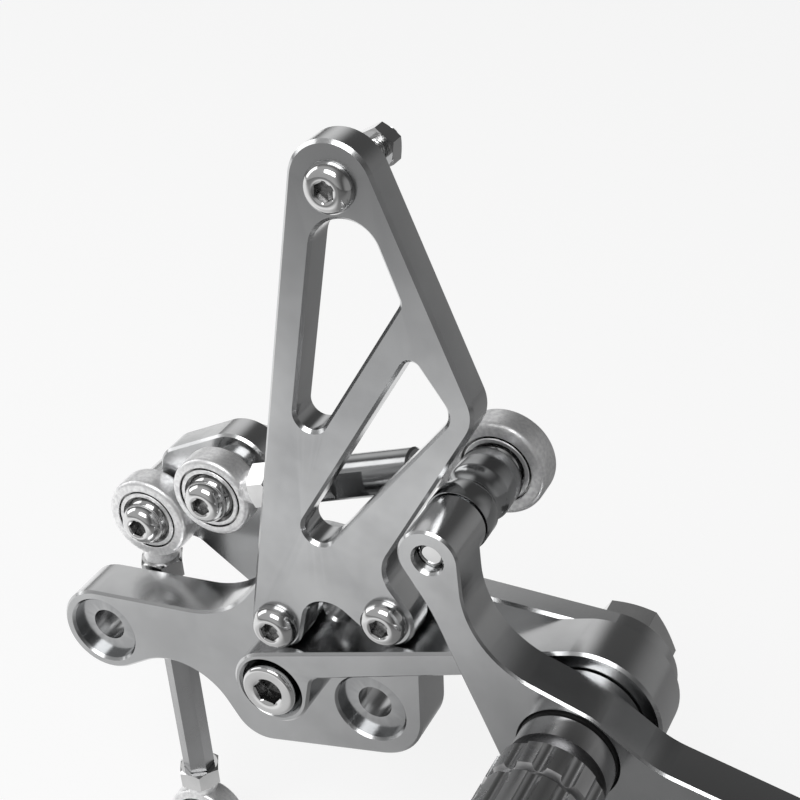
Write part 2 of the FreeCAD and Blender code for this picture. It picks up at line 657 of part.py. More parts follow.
# Foot lever: upper arm to the link rod, hub, and long forward arm to the toe peg
def foot_lever():
    body = plate("foot_lever", LEVER_BACK, "lever_thickness", [
        ("toe_x", "toe_z", "toe_eye_radius", 1),
        stop("arm_top", -1),
        ("pivot_x", "pivot_z", HUB_RADIUS, 1),
        stop("lever_front_scoop", -1),
        stop("lever_tip"),
        stop("lever_rear_scoop", -1),
        stop("lever_back"),
        stop("arm_low", -1),
    ])
    tip = place_of("lever_tip")
    hub = place_of("pivot")
    for place, radius, height in ((tip, "lever_tip_radius", "lever_tip_boss"),
                                  (hub, HUB_RADIUS, "lever_hub_boss")):
        boss = new_sketch(body, "XZ_Plane", f"{LEVER_BACK} + {height}")
        add_circle(boss, place, radius)
        pad(body, boss, f"{height} + 1")
    drill(body, LEVER_FACE, tip, TAPPED)
    drill(body, LEVER_FACE, hub, BUSH_RADIUS)
    flange = f"{FLANGE_RADIUS} + thread_clearance"
    drill(body, LEVER_FACE, hub, flange, "bush_flange_recess")
    drill(body, f"{HUB_BACK} - bush_flange_recess", hub, flange, "bush_flange_recess + 1")
    drill(body, LEVER_FACE, place_of("toe"), TAPPED)
    break_edges(body, LEVER_FACE, "plate_chamfer * 0.8")


def lever_bushes():
    """Two flanged bushes, one from each side of the lever's hub."""
    bore = f"journal_radius + {RUNNING}"
    middle = f"({LEVER_FACE} / 2 + {HUB_BACK} / 2)"
    for name, floor, outward in (("lever_bush_outer", f"({LEVER_FACE} + bush_flange_recess)", "-"),
                                 ("lever_bush_inner", f"({HUB_BACK} - bush_flange_recess)", "+")):
        face = f"{floor} {outward} bush_flange_thickness"
        inner_end = f"{middle} {outward} 0.5"
        turned(name, [(bore, face), (FLANGE_RADIUS, face), (FLANGE_RADIUS, floor),
                      (BUSH_RADIUS, floor), (BUSH_RADIUS, inner_end),
                      (bore, inner_end)], place_of("pivot"))


def pivot_parts():
    """Spindle, its washer and its nut."""
    washer_face = "(-hanger_relief)"
    nut_face = f"({washer_face} + pivot_washer_thickness)"
    stud_end = f"({nut_face} + pivot_nut_height + 1.5)"
    spigot_end = f"({PEG_PLATE_FACE} + peg_plate_thickness - 1)"
    bore_end = f"({PEG_ROOT} + peg_bolt_engagement + 1)"
    bore = "cap_screw_radius + thread_clearance"
    turned("pivot_spindle", [
        (bore, PEG_ROOT), ("journal_radius - 0.5", PEG_ROOT), ("journal_radius", f"{PEG_ROOT} + 0.5"),
        ("journal_radius", PEG_PLATE_FACE), ("spindle_spigot_radius", PEG_PLATE_FACE),
        ("spindle_spigot_radius", spigot_end), ("spindle_stud_radius", spigot_end),
        ("spindle_stud_radius", f"{stud_end} - 1"), ("spindle_stud_radius - 1", stud_end),
        ("0", stud_end), ("0", bore_end), (bore, bore_end)], place_of("pivot"))
    tube("pivot_washer", "spindle_stud_radius + 0.3", "pivot_washer_radius", washer_face, nut_face,
         place_of("pivot"))
    nut("pivot_nut", nut_face, "pivot_nut_height", "pivot_nut_flats", place_of("pivot"),
        "spindle_stud_radius + thread_clearance")


def grooves(radius, depth, width, first, pitch, count):
    """Profile rows of equal grooves, from y = first inward."""
    rows = []
    for step in range(count):
        middle = f"{first} + {pitch} * {step + 0.5}"
        rows += [(radius, f"{middle} - {width} / 2"), (f"{radius} - {depth}", f"{middle} - {width} / 6"),
                 (f"{radius} - {depth}", f"{middle} + {width} / 6"), (radius, f"{middle} + {width} / 2")]
    return rows


# Foot peg, its slider and the bolt that runs through both
def foot_peg():
    tip = f"({PEG_ROOT} - peg_length)"
    neck = f"({PEG_ROOT} - peg_root_length)"
    shoulder = f"({neck} - peg_neck_length)"
    bore = "cap_screw_radius + 0.3"
    count = int(number("peg_ring_count"))
    pitch = f"((peg_length - peg_root_length - peg_neck_length - 4) / {count})"
    body = turned("foot_peg", [
        (bore, PEG_ROOT), (bore, tip), ("peg_radius - 1", tip), ("peg_radius", f"{tip} + 1")]
        + grooves("peg_radius", "peg_ring_depth", "peg_ring_width", f"{tip} + 2", pitch, count) + [
        ("peg_radius", f"{shoulder} - 1"), ("peg_radius - 1", shoulder),
        ("peg_neck_radius", shoulder), ("peg_neck_radius", neck), ("peg_root_radius", neck),
        ("peg_root_radius", f"{PEG_ROOT} - 0.6"), ("peg_root_radius - 0.6", PEG_ROOT)], place_of("pivot"))
    flute = pocket(body, tip, lambda sketch: add_circle(
        sketch, ("peg_radius + peg_flute_radius * 0.3", "0"), "peg_flute_radius"), f"{shoulder} - {tip}")
    around = body.newObject("PartDesign::PolarPattern", "peg_flutes")
    around.Originals = [flute]
    around.Axis = (origin_feature(body, "Y_Axis"), [""])
    around.Angle = 360
    around.Occurrences = int(number("peg_flute_count"))
    body.Tip = around
    cap_face = f"({tip} - end_cap_length)"
    seat = f"({cap_face} + end_cap_seat)"
    turned("peg_end_cap", [
        (bore, tip), (bore, seat), ("cap_head_radius + 0.4", seat), ("cap_head_radius + 0.4", cap_face),
        ("end_cap_radius - 2.5", cap_face),
        ("end_cap_radius", f"{cap_face} + 2.5", "2.5", 1),
        ("end_cap_radius", f"{tip} - 0.6"), ("end_cap_radius - 0.6", tip)], place_of("pivot"))
    cap_screw("peg_bolt", seat, "(end_cap_length - end_cap_seat + peg_length + peg_bolt_engagement)",
              place_of("pivot"))


def toe_peg():
    """Grooved toe peg and the screw that holds it from the inner side."""
    tip = f"({LEVER_FACE} - toe_peg_length)"
    count = int(number("toe_peg_groove_count"))
    bore_end = f"{LEVER_FACE} - toe_peg_length * 0.7"
    turned("toe_peg", [
        ("0", bore_end), ("0", tip), ("toe_peg_radius - 1", tip), ("toe_peg_radius", f"{tip} + 1")]
        + grooves("toe_peg_radius", "0.9", "2.4", f"{tip} + 2", f"((toe_peg_length - 5) / {count})", count) + [
        ("toe_peg_radius", LEVER_FACE), (TAPPED, LEVER_FACE), (TAPPED, bore_end)], place_of("toe"))
    button_screw("toe_peg_screw", LEVER_BACK, "lever_thickness + toe_peg_length * 0.65", place_of("toe"), 1)


# Turned spacer and bolt between the lever's tip and the link rod
def link_bolt():
    ball_face = "(link_plane - ball_width / 2)"
    span = f"({ball_face} - {TIP_BACK})"
    bore = "rod_thread_radius + 0.2"
    turned("lever_spacer", [
        (bore, TIP_BACK), ("collar_radius - 0.9", TIP_BACK), ("collar_radius - 0.9", f"{TIP_BACK} + 0.5"),
        ("collar_radius", f"{TIP_BACK} + 0.5"), ("collar_radius", f"{TIP_BACK} + {span} * 0.3"),
        ("collar_radius - 0.2", f"{TIP_BACK} + {span} * 0.32"),
        ("collar_radius - 0.2", f"{TIP_BACK} + {span} * 0.56", "collar_hollow_radius", -1),
        ("collar_end_radius", f"{TIP_BACK} + {span} * 0.62"),
        ("collar_end_radius", f"{ball_face} - 1.4"), ("collar_end_radius - 0.4", f"{ball_face} - 1"),
        ("ball_radius * 0.72", ball_face), (bore, ball_face)], place_of("lever_tip"))
    rear = "(link_plane + ball_width / 2)"
    end = f"({LEVER_FACE} + link_bolt_depth)"
    body = turned("link_bolt", [
        ("0", end), ("rod_thread_radius - 0.8", end), ("rod_thread_radius", f"{end} + 0.8"),
        ("rod_thread_radius", f"{rear} + 1"), ("0", f"{rear} + 1")], ("0", "0"))
    head = new_sketch(body, "XZ_Plane", f"{rear} + link_head_height")
    hexagon(head, "small_nut_flats", math.radians(link_angle()))
    pad(body, head, "link_head_height")
    trim_corners(body, "small_nut_flats", rear, f"{rear} + link_head_height")
    put(body, place_of("lever_tip"))


def ball(name, plane, place):
    """Drilled ball of a rod end, flat on both sides."""
    flat = "sqrt(ball_radius ^ 2 - ball_width ^ 2 / 4)"
    turned(name, [
        (flat, f"{plane} - ball_width / 2"), (flat, f"{plane} + ball_width / 2", "ball_radius", 1),
        (TAPPED, f"{plane} + ball_width / 2"), (TAPPED, f"{plane} - ball_width / 2")], place)


def rod_end(name, plane, place, angle, thread, eye="rod_eye_radius", neck="rod_neck_length",
            seat=f"(ball_radius + {RUNNING})"):
    """Rod end whose shank points along its own +X before angle turns it about Y."""
    body = new_body(name)
    half = "rod_eye_width / 2"
    mouth = f"sqrt({seat} ^ 2 - rod_eye_width ^ 2 / 4)"
    side = [(f"{seat} + 1.1", half), (f"{seat} + 1.3", f"{half} - 0.4"), (f"{seat} + 1.6", f"{half} - 0.4"),
            (f"{seat} + 1.8", f"{half} - 0.1"), (f"{eye} - 1", f"{half} - 0.1"), (eye, f"{half} - 1.1")]
    other = [(radius, f"-({along})") for radius, along in reversed(side)]
    sketch = new_sketch(body, "XY_Plane")
    add_loop(sketch, [(mouth, half, seat, 1)] + side + other + [(mouth, f"-{half}")])
    revolve(body, sketch)
    shank = new_sketch(body, "XY_Plane")
    end = f"{neck} + {thread}"
    add_loop(shank, [
        (f"{seat} + 1", "0"), (end, "0"), (end, "rod_thread_radius - 0.8"), (f"{end} - 0.8", "rod_thread_radius"),
        (neck, "rod_thread_radius"), (neck, "rod_neck_radius - 0.4"), (f"{neck} - 0.4", "rod_neck_radius"),
        (f"{eye} + 1", "rod_neck_radius"), (f"{eye} - 1.6", f"{half} - 0.1"), (f"{seat} + 1", f"{half} - 0.5")])
    revolve(body, shank, "X_Axis")
    return put(body, place, plane, angle)


def rod_hexagon(name, plane, place, angle, start, length, flats, turn=0.0):
    """Six-sided piece on a rod, start mm along the rod and bored right through."""
    body = new_body(name)
    sketch = new_sketch(body, "YZ_Plane")
    sketch.setExpression("AttachmentOffset.Base.z", bound(start))
    hexagon(sketch, flats, turn)
    add_circle(sketch, ("0", "0"), TAPPED)
    pad(body, sketch, length)
    trim_corners(body, flats, start, f"{start} + {length}", "X_Axis")
    return put(body, place, plane, angle)


def rod_nut(name, plane, place, angle, start):
    return rod_hexagon(name, plane, place, angle, start, "small_nut_height", "small_nut_flats", math.pi / 6)


def link_angle():
    """Rise of the link rod towards the front, in degrees."""
    return number("atan((lever_tip_z - ring_two_z) / (lever_tip_x - ring_two_x))")


def link_rod():
    """Rod end, lock nut, barrel and rod end between bell crank and lever."""
    rear = place_of("ring_two")
    front = place_of("lever_tip")
    angle = -link_angle()
    length = "sqrt((lever_tip_x - ring_two_x) ^ 2 + (lever_tip_z - ring_two_z) ^ 2)"
    start = "(rod_neck_length + small_nut_height)"
    end = f"({length} - front_neck_length - link_thread_showing)"
    rod_end("link_rod_end_rear", "link_plane", rear, angle, "small_nut_height + rod_thread_engagement",
            seat="(ball_radius + link_opening)")
    rod_nut("link_lock_nut", "link_plane", rear, angle, "rod_neck_length")
    body = new_body("link_barrel")
    sketch = new_sketch(body, "XY_Plane")
    add_loop(sketch, [
        (start, TAPPED), (end, TAPPED), (end, "link_barrel_radius - 0.5"), (f"{end} - 0.5", "link_barrel_radius"),
        (f"{start} + 0.5", "link_barrel_radius"), (start, "link_barrel_radius - 0.5")])
    revolve(body, sketch, "X_Axis")
    for side in ("", "-"):
        flat = new_sketch(body, "YZ_Plane")
        flat.setExpression("AttachmentOffset.Base.z", bound(f"{start} + link_flats_start"))
        add_loop(flat, [
            (f"{side}(link_barrel_flats / 2)", "-link_barrel_radius - 1"),
            (f"{side}(link_barrel_radius + 1)", "-link_barrel_radius - 1"),
            (f"{side}(link_barrel_radius + 1)", "link_barrel_radius + 1"),
            (f"{side}(link_barrel_flats / 2)", "link_barrel_radius + 1")])
        cut = body.newObject("PartDesign::Pocket", "link_flat")
        cut.Profile = flat
        cut.Reversed = True
        cut.setExpression("Length", bound("link_flats_length"))
        document.recompute()
    put(body, rear, "link_plane", angle)
    rod_end("link_rod_end_front", "link_plane", front, angle + 180,
            "link_thread_showing + rod_thread_engagement", "(rod_eye_radius + front_eye_extra)",
            "front_neck_length")
    ball("link_ball_front", "link_plane", front)
    ball("link_ball_rear", "link_plane", rear)


def drop_rod():
    """Rod end at the crank, six-sided rod and rod end at the bottom."""
    top = place_of("ring_one")
    angle = 90 - number("drop_rod_lean")
    grip = "small_nut_height + rod_thread_engagement"
    start = "rod_neck_length + small_nut_height"
    rod_end("drop_rod_end_upper", "drop_plane", top, angle, grip, "(rod_eye_radius + drop_eye_extra)")
    rod_nut("drop_lock_nut_upper", "drop_plane", top, angle, "rod_neck_length")
    rod_hexagon("drop_rod", "drop_plane", top, angle, start, "drop_rod_length", "drop_rod_flats")
    rod_nut("drop_lock_nut_lower", "drop_plane", top, angle, f"{start} + drop_rod_length")
    reach = f"(({start}) * 2 + drop_rod_length)"
    low = (f"ring_one_x + {reach} * sin(drop_rod_lean)", f"ring_one_z - {reach} * cos(drop_rod_lean)")
    rod_end("drop_rod_end_lower", "drop_plane", low, angle + 180, grip)
    ball("drop_ball_upper", "drop_plane", top)
    ball("drop_ball_lower", "drop_plane", low)


# Bell crank and what holds it to the hanger
def bell_crank():
    body = plate("bell_crank", CRANK_BACK, "crank_thickness", [
        ("ring_two_x", "ring_two_z", "crank_eye_radius", 1),
        stop("crank_shoulder"),
        ("crank_shoulder_x - crank_shoulder_radius - crank_saddle_radius",
         "ring_one_z + crank_low_eye_radius + crank_saddle_radius", "crank_saddle_radius", -1),
        ("ring_one_x", "ring_one_z", "crank_low_eye_radius", 1),
        stop("crank_nook", -1),
        ("crank_pivot_x", "crank_pivot_z", "crank_hub_radius", 1),
    ])
    centre = place_of("crank_pivot")
    for place in (place_of("ring_one"), place_of("ring_two")):
        drill(body, CRANK_FACE, place, TAPPED)
    drill(body, CRANK_FACE, centre, "crank_bush_radius")
    break_edges(body, CRANK_FACE, "plate_chamfer")
    flange = "crank_hub_radius - 1.5"
    bore = f"crank_journal_radius + {RUNNING}"
    turned("crank_bush", [
        (bore, f"{CRANK_FACE} - 1"), (flange, f"{CRANK_FACE} - 1"), (flange, CRANK_FACE),
        ("crank_bush_radius", CRANK_FACE), ("crank_bush_radius", CRANK_BACK), (bore, CRANK_BACK)], centre)
    shoulder = f"({CRANK_FACE} - 1 - hub_end_float)"
    journal_end = f"({CRANK_BACK} + hub_end_float)"
    washer_end = f"{journal_end} + 1.2"
    turned("crank_post", [
        ("0", "-crank_post_depth"), ("crank_post_spigot", "-crank_post_depth"), ("crank_post_spigot", "0"),
        ("crank_post_radius", "0"), ("crank_post_radius", f"{shoulder} - 0.5"),
        ("crank_post_radius - 0.5", shoulder), ("crank_journal_radius", shoulder),
        ("crank_journal_radius", journal_end), (TAPPED, journal_end), (TAPPED, "0.5"), ("0", "0.5")], centre)
    tube("crank_washer", "rod_thread_radius + 0.3", "crank_post_radius", journal_end, washer_end, centre)
    button_screw("crank_screw", washer_end, f"{washer_end} - 2", centre, 1)


def crank_fasteners():
    rear = place_of("ring_two")
    ball_back = "(link_plane + ball_width / 2)"
    turned("rear_link_spacer", [
        ("rod_thread_radius + 0.2", ball_back), ("ball_radius * 0.72", ball_back),
        ("collar_radius - 0.4", f"{CRANK_FACE} - 1.4"), ("collar_radius - 0.4", CRANK_FACE),
        ("rod_thread_radius + 0.2", CRANK_FACE)], rear)
    for name, plane, place in (("rear_link", "link_plane", rear), ("drop_link", "drop_plane", place_of("ring_one"))):
        seat = f"({plane} - ball_width / 2)"
        button_screw(f"{name}_screw", seat, f"({CRANK_BACK} - {seat} + lock_nut_height + 0.8)", place)
        nut(f"{name}_nut", CRANK_BACK, "lock_nut_height", "small_nut_flats", place)


foot_lever()
lever_bushes()
pivot_parts()
foot_peg()
toe_peg()
link_bolt()
link_rod()
bell_crank()
crank_fasteners()
drop_rod()

document.recompute()
for item in document.Objects:
    if "Invalid" in item.State or "Error" in item.State:
        raise RuntimeError(f"{item.Name} did not compute: {item.State}")
pieces = document.findObjects("PartDesign::Body")
for body in pieces:
    if body.Shape.isNull() or not body.Shape.isValid() or not body.Shape.Solids:
        raise RuntimeError(f"{body.Label} has no sound solid")
os.makedirs("parts", exist_ok=True)
for body in pieces:
    body.Shape.exportStep(f"parts/{body.Label}.step")
print(len(pieces), "pieces written")
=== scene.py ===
"""Looks of a motorcycle rear set: plates, screws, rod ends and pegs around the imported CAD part."""

import json
import logging
import math
from dataclasses import dataclass, field
from enum import Enum
from typing import Iterable, Sequence

import bmesh
import bpy
from mathutils import Matrix, Vector


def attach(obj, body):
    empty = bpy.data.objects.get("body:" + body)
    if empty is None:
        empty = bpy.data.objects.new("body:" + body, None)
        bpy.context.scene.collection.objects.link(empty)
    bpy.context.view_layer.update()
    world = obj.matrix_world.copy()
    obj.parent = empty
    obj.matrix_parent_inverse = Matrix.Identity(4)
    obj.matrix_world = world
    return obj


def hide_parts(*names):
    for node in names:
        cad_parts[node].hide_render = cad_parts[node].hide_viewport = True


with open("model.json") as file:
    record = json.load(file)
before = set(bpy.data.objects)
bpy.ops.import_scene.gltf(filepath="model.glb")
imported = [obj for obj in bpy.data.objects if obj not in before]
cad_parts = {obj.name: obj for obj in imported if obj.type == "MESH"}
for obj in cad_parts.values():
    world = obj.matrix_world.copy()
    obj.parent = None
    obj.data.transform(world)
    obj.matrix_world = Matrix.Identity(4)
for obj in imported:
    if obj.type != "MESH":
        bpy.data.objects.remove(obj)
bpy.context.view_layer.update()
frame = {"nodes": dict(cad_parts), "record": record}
LOG = logging.getLogger("rear_set")
MM = 0.001
# Anodised edges that are worn down to the metal.
BARE_METAL = "#e6e6e6"
# Range of the cloud texture that turns into patches, and of the pointiness that counts as a worn edge.
CLOUD_RANGE = (0.35, 0.65)
WORN_RANGE = (0.52, 0.62)
# Milling streaks: the texture is drawn out 3 times along Y and 17 times along Z.
STREAK_SCALE = (1.0, 0.3, 0.06)
# Blender's wave texture runs through this many radians for each unit of its scale.
WAVE_RATE = 20
# Numbers of the colour sockets of a Mix node.
MIX_FIRST, MIX_SECOND, MIX_RESULT = 6, 7, 2
# A broached hexagon is a little narrower at its floor.
SOCKET_TAPER = 0.985
# Points of a mesh closer than this many metres become one.
WELD = 1e-7

Point = tuple[float, float, float]
Profile = tuple[tuple[float, float], ...]


class Body(Enum):
    """Moving bodies of the part, by their names in the frame."""

    FRAME_SIDE = "frame_side"
    LEVER = "lever"
    LINK = "link"
    CRANK = "crank"
    DROP = "drop"


class Slot(Enum):
    """Material slots of the record."""

    ANODISED_GREY = "anodised_grey"
    MACHINED_ALUMINIUM = "machined_aluminium"
    STAINLESS = "stainless"
    ZINC_PLATED = "zinc_plated"
    BEARING_STEEL = "bearing_steel"
    BUSH_POLYMER = "bush_polymer"
    PEG_ALUMINIUM = "peg_aluminium"


class Facing(Enum):
    """Way that a screw head looks along Y."""

    OUTWARD = -1
    INWARD = 1


class Pattern(Enum):
    """How a surface was made."""

    BLASTED = "blasted"
    MILLED = "milled"
    TURNED = "turned"
    POLISHED = "polished"
    PLATED = "plated"


def linear(colour: str) -> tuple[float, float, float, float]:
    """Turn an sRGB hex colour into linear values.

    Args:
        colour: Hex text such as "#8c8d8f".

    Returns:
        Linear red, green, blue and an alpha of 1.
    """
    channels = [int(colour[start:start + 2], 16) / 255 for start in (1, 3, 5)]
    values = [value / 12.92 if value <= 0.04045 else ((value + 0.055) / 1.055) ** 2.4 for value in channels]
    return values[0], values[1], values[2], 1.0


def add_node(tree: bpy.types.NodeTree, kind: str, settings: dict[str | int, object] | None = None,
             links: dict[str | int, bpy.types.NodeSocket] | None = None) -> bpy.types.Node:
    """Add a shader node.

    Args:
        tree: Node tree that takes the node.
        kind: Blender's name of the node type.
        settings: Attribute names, or names or numbers of inputs, and their values.
        links: Names or numbers of inputs and the sockets that feed them.

    Returns:
        The new node.
    """
    node = tree.nodes.new(kind)
    for name, value in (settings or {}).items():
        if isinstance(name, str) and hasattr(node, name):
            setattr(node, name, value)
        else:
            node.inputs[name].default_value = value
    for name, source in (links or {}).items():
        tree.links.new(source, node.inputs[name])
    return node


@dataclass(frozen=True)
class Finish:
    """Procedural finish of one material.

    grain_mm is the size of the surface's texture and relief_mm its height.
    cloud_mm is the size of the patches that differ in shade, and edge is how
    much paler worn edges are.
    """

    name: str
    colour: str
    shade: str
    roughness: float
    spread: float
    pattern: Pattern
    grain_mm: float
    relief_mm: float
    cloud_mm: float = 14.0
    edge: float = 0.0
    metallic: float = 1.0

    def build(self) -> bpy.types.Material:
        """Build the material.

        Returns:
            A material that is ready to be put on a mesh.
        """
        material = bpy.data.materials.new(self.name)
        material.use_nodes = True
        tree = material.node_tree
        shader = tree.nodes["Principled BSDF"]
        shader.inputs["Metallic"].default_value = self.metallic
        place = add_node(tree, "ShaderNodeTexCoord")
        broad = add_node(tree, "ShaderNodeTexNoise",
                         {"Scale": 1 / (self.cloud_mm * MM), "Detail": 3.0, "Roughness": 0.55},
                         {"Vector": place.outputs["Object"]})
        patch = add_node(tree, "ShaderNodeMapRange", {"From Min": CLOUD_RANGE[0], "From Max": CLOUD_RANGE[1]},
                         {"Value": broad.outputs["Fac"]})
        tint = add_node(tree, "ShaderNodeMix",
                        {"data_type": "RGBA", MIX_FIRST: linear(self.colour), MIX_SECOND: linear(self.shade)},
                        {"Factor": patch.outputs["Result"]})
        colour = tint.outputs[MIX_RESULT]
        if self.edge:
            geometry = add_node(tree, "ShaderNodeNewGeometry")
            worn = add_node(tree, "ShaderNodeMapRange",
                            {"From Min": WORN_RANGE[0], "From Max": WORN_RANGE[1], "To Max": self.edge},
                            {"Value": geometry.outputs["Pointiness"]})
            bright = add_node(tree, "ShaderNodeMix", {"data_type": "RGBA", MIX_SECOND: linear(BARE_METAL)},
                              {"Factor": worn.outputs["Result"], MIX_FIRST: colour})
            colour = bright.outputs[MIX_RESULT]
        tree.links.new(colour, shader.inputs["Base Color"])
        fine = self.texture(tree, place.outputs["Object"])
        level = add_node(tree, "ShaderNodeMapRange",
                         {"To Min": self.roughness - self.spread, "To Max": self.roughness + self.spread},
                         {"Value": patch.outputs["Result"]})
        tree.links.new(level.outputs["Result"], shader.inputs["Roughness"])
        bump = add_node(tree, "ShaderNodeBump", {"Strength": 1.0, "Distance": self.relief_mm * MM},
                        {"Height": fine})
        tree.links.new(bump.outputs["Normal"], shader.inputs["Normal"])
        return material

    def texture(self, tree: bpy.types.NodeTree, place: bpy.types.NodeSocket) -> bpy.types.NodeSocket:
        """Add the height pattern of the surface.

        Args:
            tree: Node tree of the material.
            place: Object coordinates in metres.

        Returns:
            Socket that gives the height, from 0 to 1.
        """
        scale = 1 / (self.grain_mm * MM)
        if self.pattern is Pattern.MILLED:
            drawn_out = add_node(tree, "ShaderNodeMapping", {"Scale": STREAK_SCALE}, {"Vector": place})
            place = drawn_out.outputs["Vector"]
        if self.pattern is Pattern.TURNED:
            wave = add_node(tree, "ShaderNodeTexWave",
                            {"wave_type": "BANDS", "bands_direction": "Y", "Scale": scale / WAVE_RATE,
                             "Distortion": 0.6, "Detail": 2.0, "Detail Scale": 3.0}, {"Vector": place})
            return wave.outputs["Fac"]
        detail = 4.0 if self.pattern is Pattern.PLATED else 2.0
        noise = add_node(tree, "ShaderNodeTexNoise", {"Scale": scale, "Detail": detail}, {"Vector": place})
        return noise.outputs["Fac"]


# Anodised aluminium over a milled plate: grey with a soft mirror, faint milling streaks and pale edges.
# Real streaks are about 0.1 mm wide, and these are 0.7 mm so that they show.
ANODISED_GREY = Finish("anodised_aluminium_grey", "#b0b1b2", "#a3a4a5", 0.2, 0.03,
                       Pattern.MILLED, 0.7, 0.0035, edge=0.5)
# Turned aluminium, clear anodised: satin, with feed lines round the axis. The real feed is about 0.2 mm, and
# the wave repeats every 3 mm, so that it shows as broad faint bands.
TURNED_ALUMINIUM = Finish("turned_aluminium", "#a4a5a6", "#909192", 0.16, 0.03,
                          Pattern.TURNED, 0.5, 0.003, edge=0.3)
# Six-sided aluminium bar, hard anodised: darker and duller than the turned parts.
HARD_ANODISED_BAR = Finish("hard_anodised_bar", "#56575a", "#47484a", 0.26, 0.04, Pattern.MILLED, 0.6, 0.003,
                           edge=0.4)
# Polished stainless steel: mirror-like, softened by handling marks.
POLISHED_STAINLESS = Finish("polished_stainless", "#dcdcdc", "#cacaca", 0.1, 0.03,
                            Pattern.POLISHED, 0.8, 0.003)
# Painted shade, darker than the metal, for recesses: broached sockets, and the bevel and groove round a rod
# end's ball.
RECESS_SHADE = Finish("painted_recess_shade", "#9c9c9c", "#6e6e6e", 0.24, 0.08, Pattern.BLASTED, 0.4, 0.01,
                      cloud_mm=1.5)
# Bright zinc plating over a forged and machined blank: pale, cloudy and slightly pitted. The clear
# passivation on it scatters part of the light, so it isn't all metallic.
BRIGHT_ZINC = Finish("bright_zinc", "#f6f6f6", "#e0e0e1", 0.38, 0.06, Pattern.PLATED, 0.4, 0.03,
                     cloud_mm=0.9, metallic=0.75)
# Ground bearing steel: nearly a mirror.
GROUND_STEEL = Finish("ground_bearing_steel", "#c6c6c6", "#b8b8b8", 0.08, 0.02,
                      Pattern.POLISHED, 0.6, 0.001)
# Moulded acetal bearing bush: black with a waxy sheen.
BUSH_ACETAL = Finish("black_acetal", "#1b1b1b", "#141414", 0.42, 0.05, Pattern.BLASTED, 0.5, 0.003,
                     metallic=0.0)
# Knurled and anodised peg aluminium: satin grey, brighter on the grip's edges.
PEG_ALUMINIUM = Finish("anodised_peg_aluminium", "#a2a2a3", "#929293", 0.3, 0.05,
                       Pattern.BLASTED, 0.4, 0.006, edge=0.6)

FINISHES: dict[Slot, Finish] = {
    Slot.ANODISED_GREY: ANODISED_GREY,
    Slot.MACHINED_ALUMINIUM: TURNED_ALUMINIUM,
    Slot.STAINLESS: POLISHED_STAINLESS,
    Slot.ZINC_PLATED: BRIGHT_ZINC,
    Slot.BEARING_STEEL: GROUND_STEEL,
    Slot.BUSH_POLYMER: BUSH_ACETAL,
    Slot.PEG_ALUMINIUM: PEG_ALUMINIUM,
}
# Nodes that differ from the rest of their slot.
NODE_FINISHES: dict[str, Finish] = {
    "drop_rod": HARD_ANODISED_BAR,
    "drop_lock_nut_upper": POLISHED_STAINLESS,
    "drop_lock_nut_lower": POLISHED_STAINLESS,
}


@dataclass(frozen=True)
class Ring:
    """One ring of points of a turned or six-sided form.

    height runs along the form's axis. With flats set, the ring follows a
    hexagon of that size across its flats, and slope drops its corners.
    """

    radius: float
    height: float
    flats: float = 0.0
    slope: float = 0.0

    def point(self, angle: float) -> tuple[float, float]:
        """Find where the ring runs at an angle.

        Args:
            angle: Angle round the axis, in radians.

        Returns:
            Radius and height of the ring there.
        """
        if not self.flats:
            return self.radius, self.height
        sixth = math.pi / 3
        sector = (angle + sixth / 2) % sixth - sixth / 2
        reach = self.flats / 2 / math.cos(sector)
        return reach, self.height + self.slope * (reach - self.flats / 2)


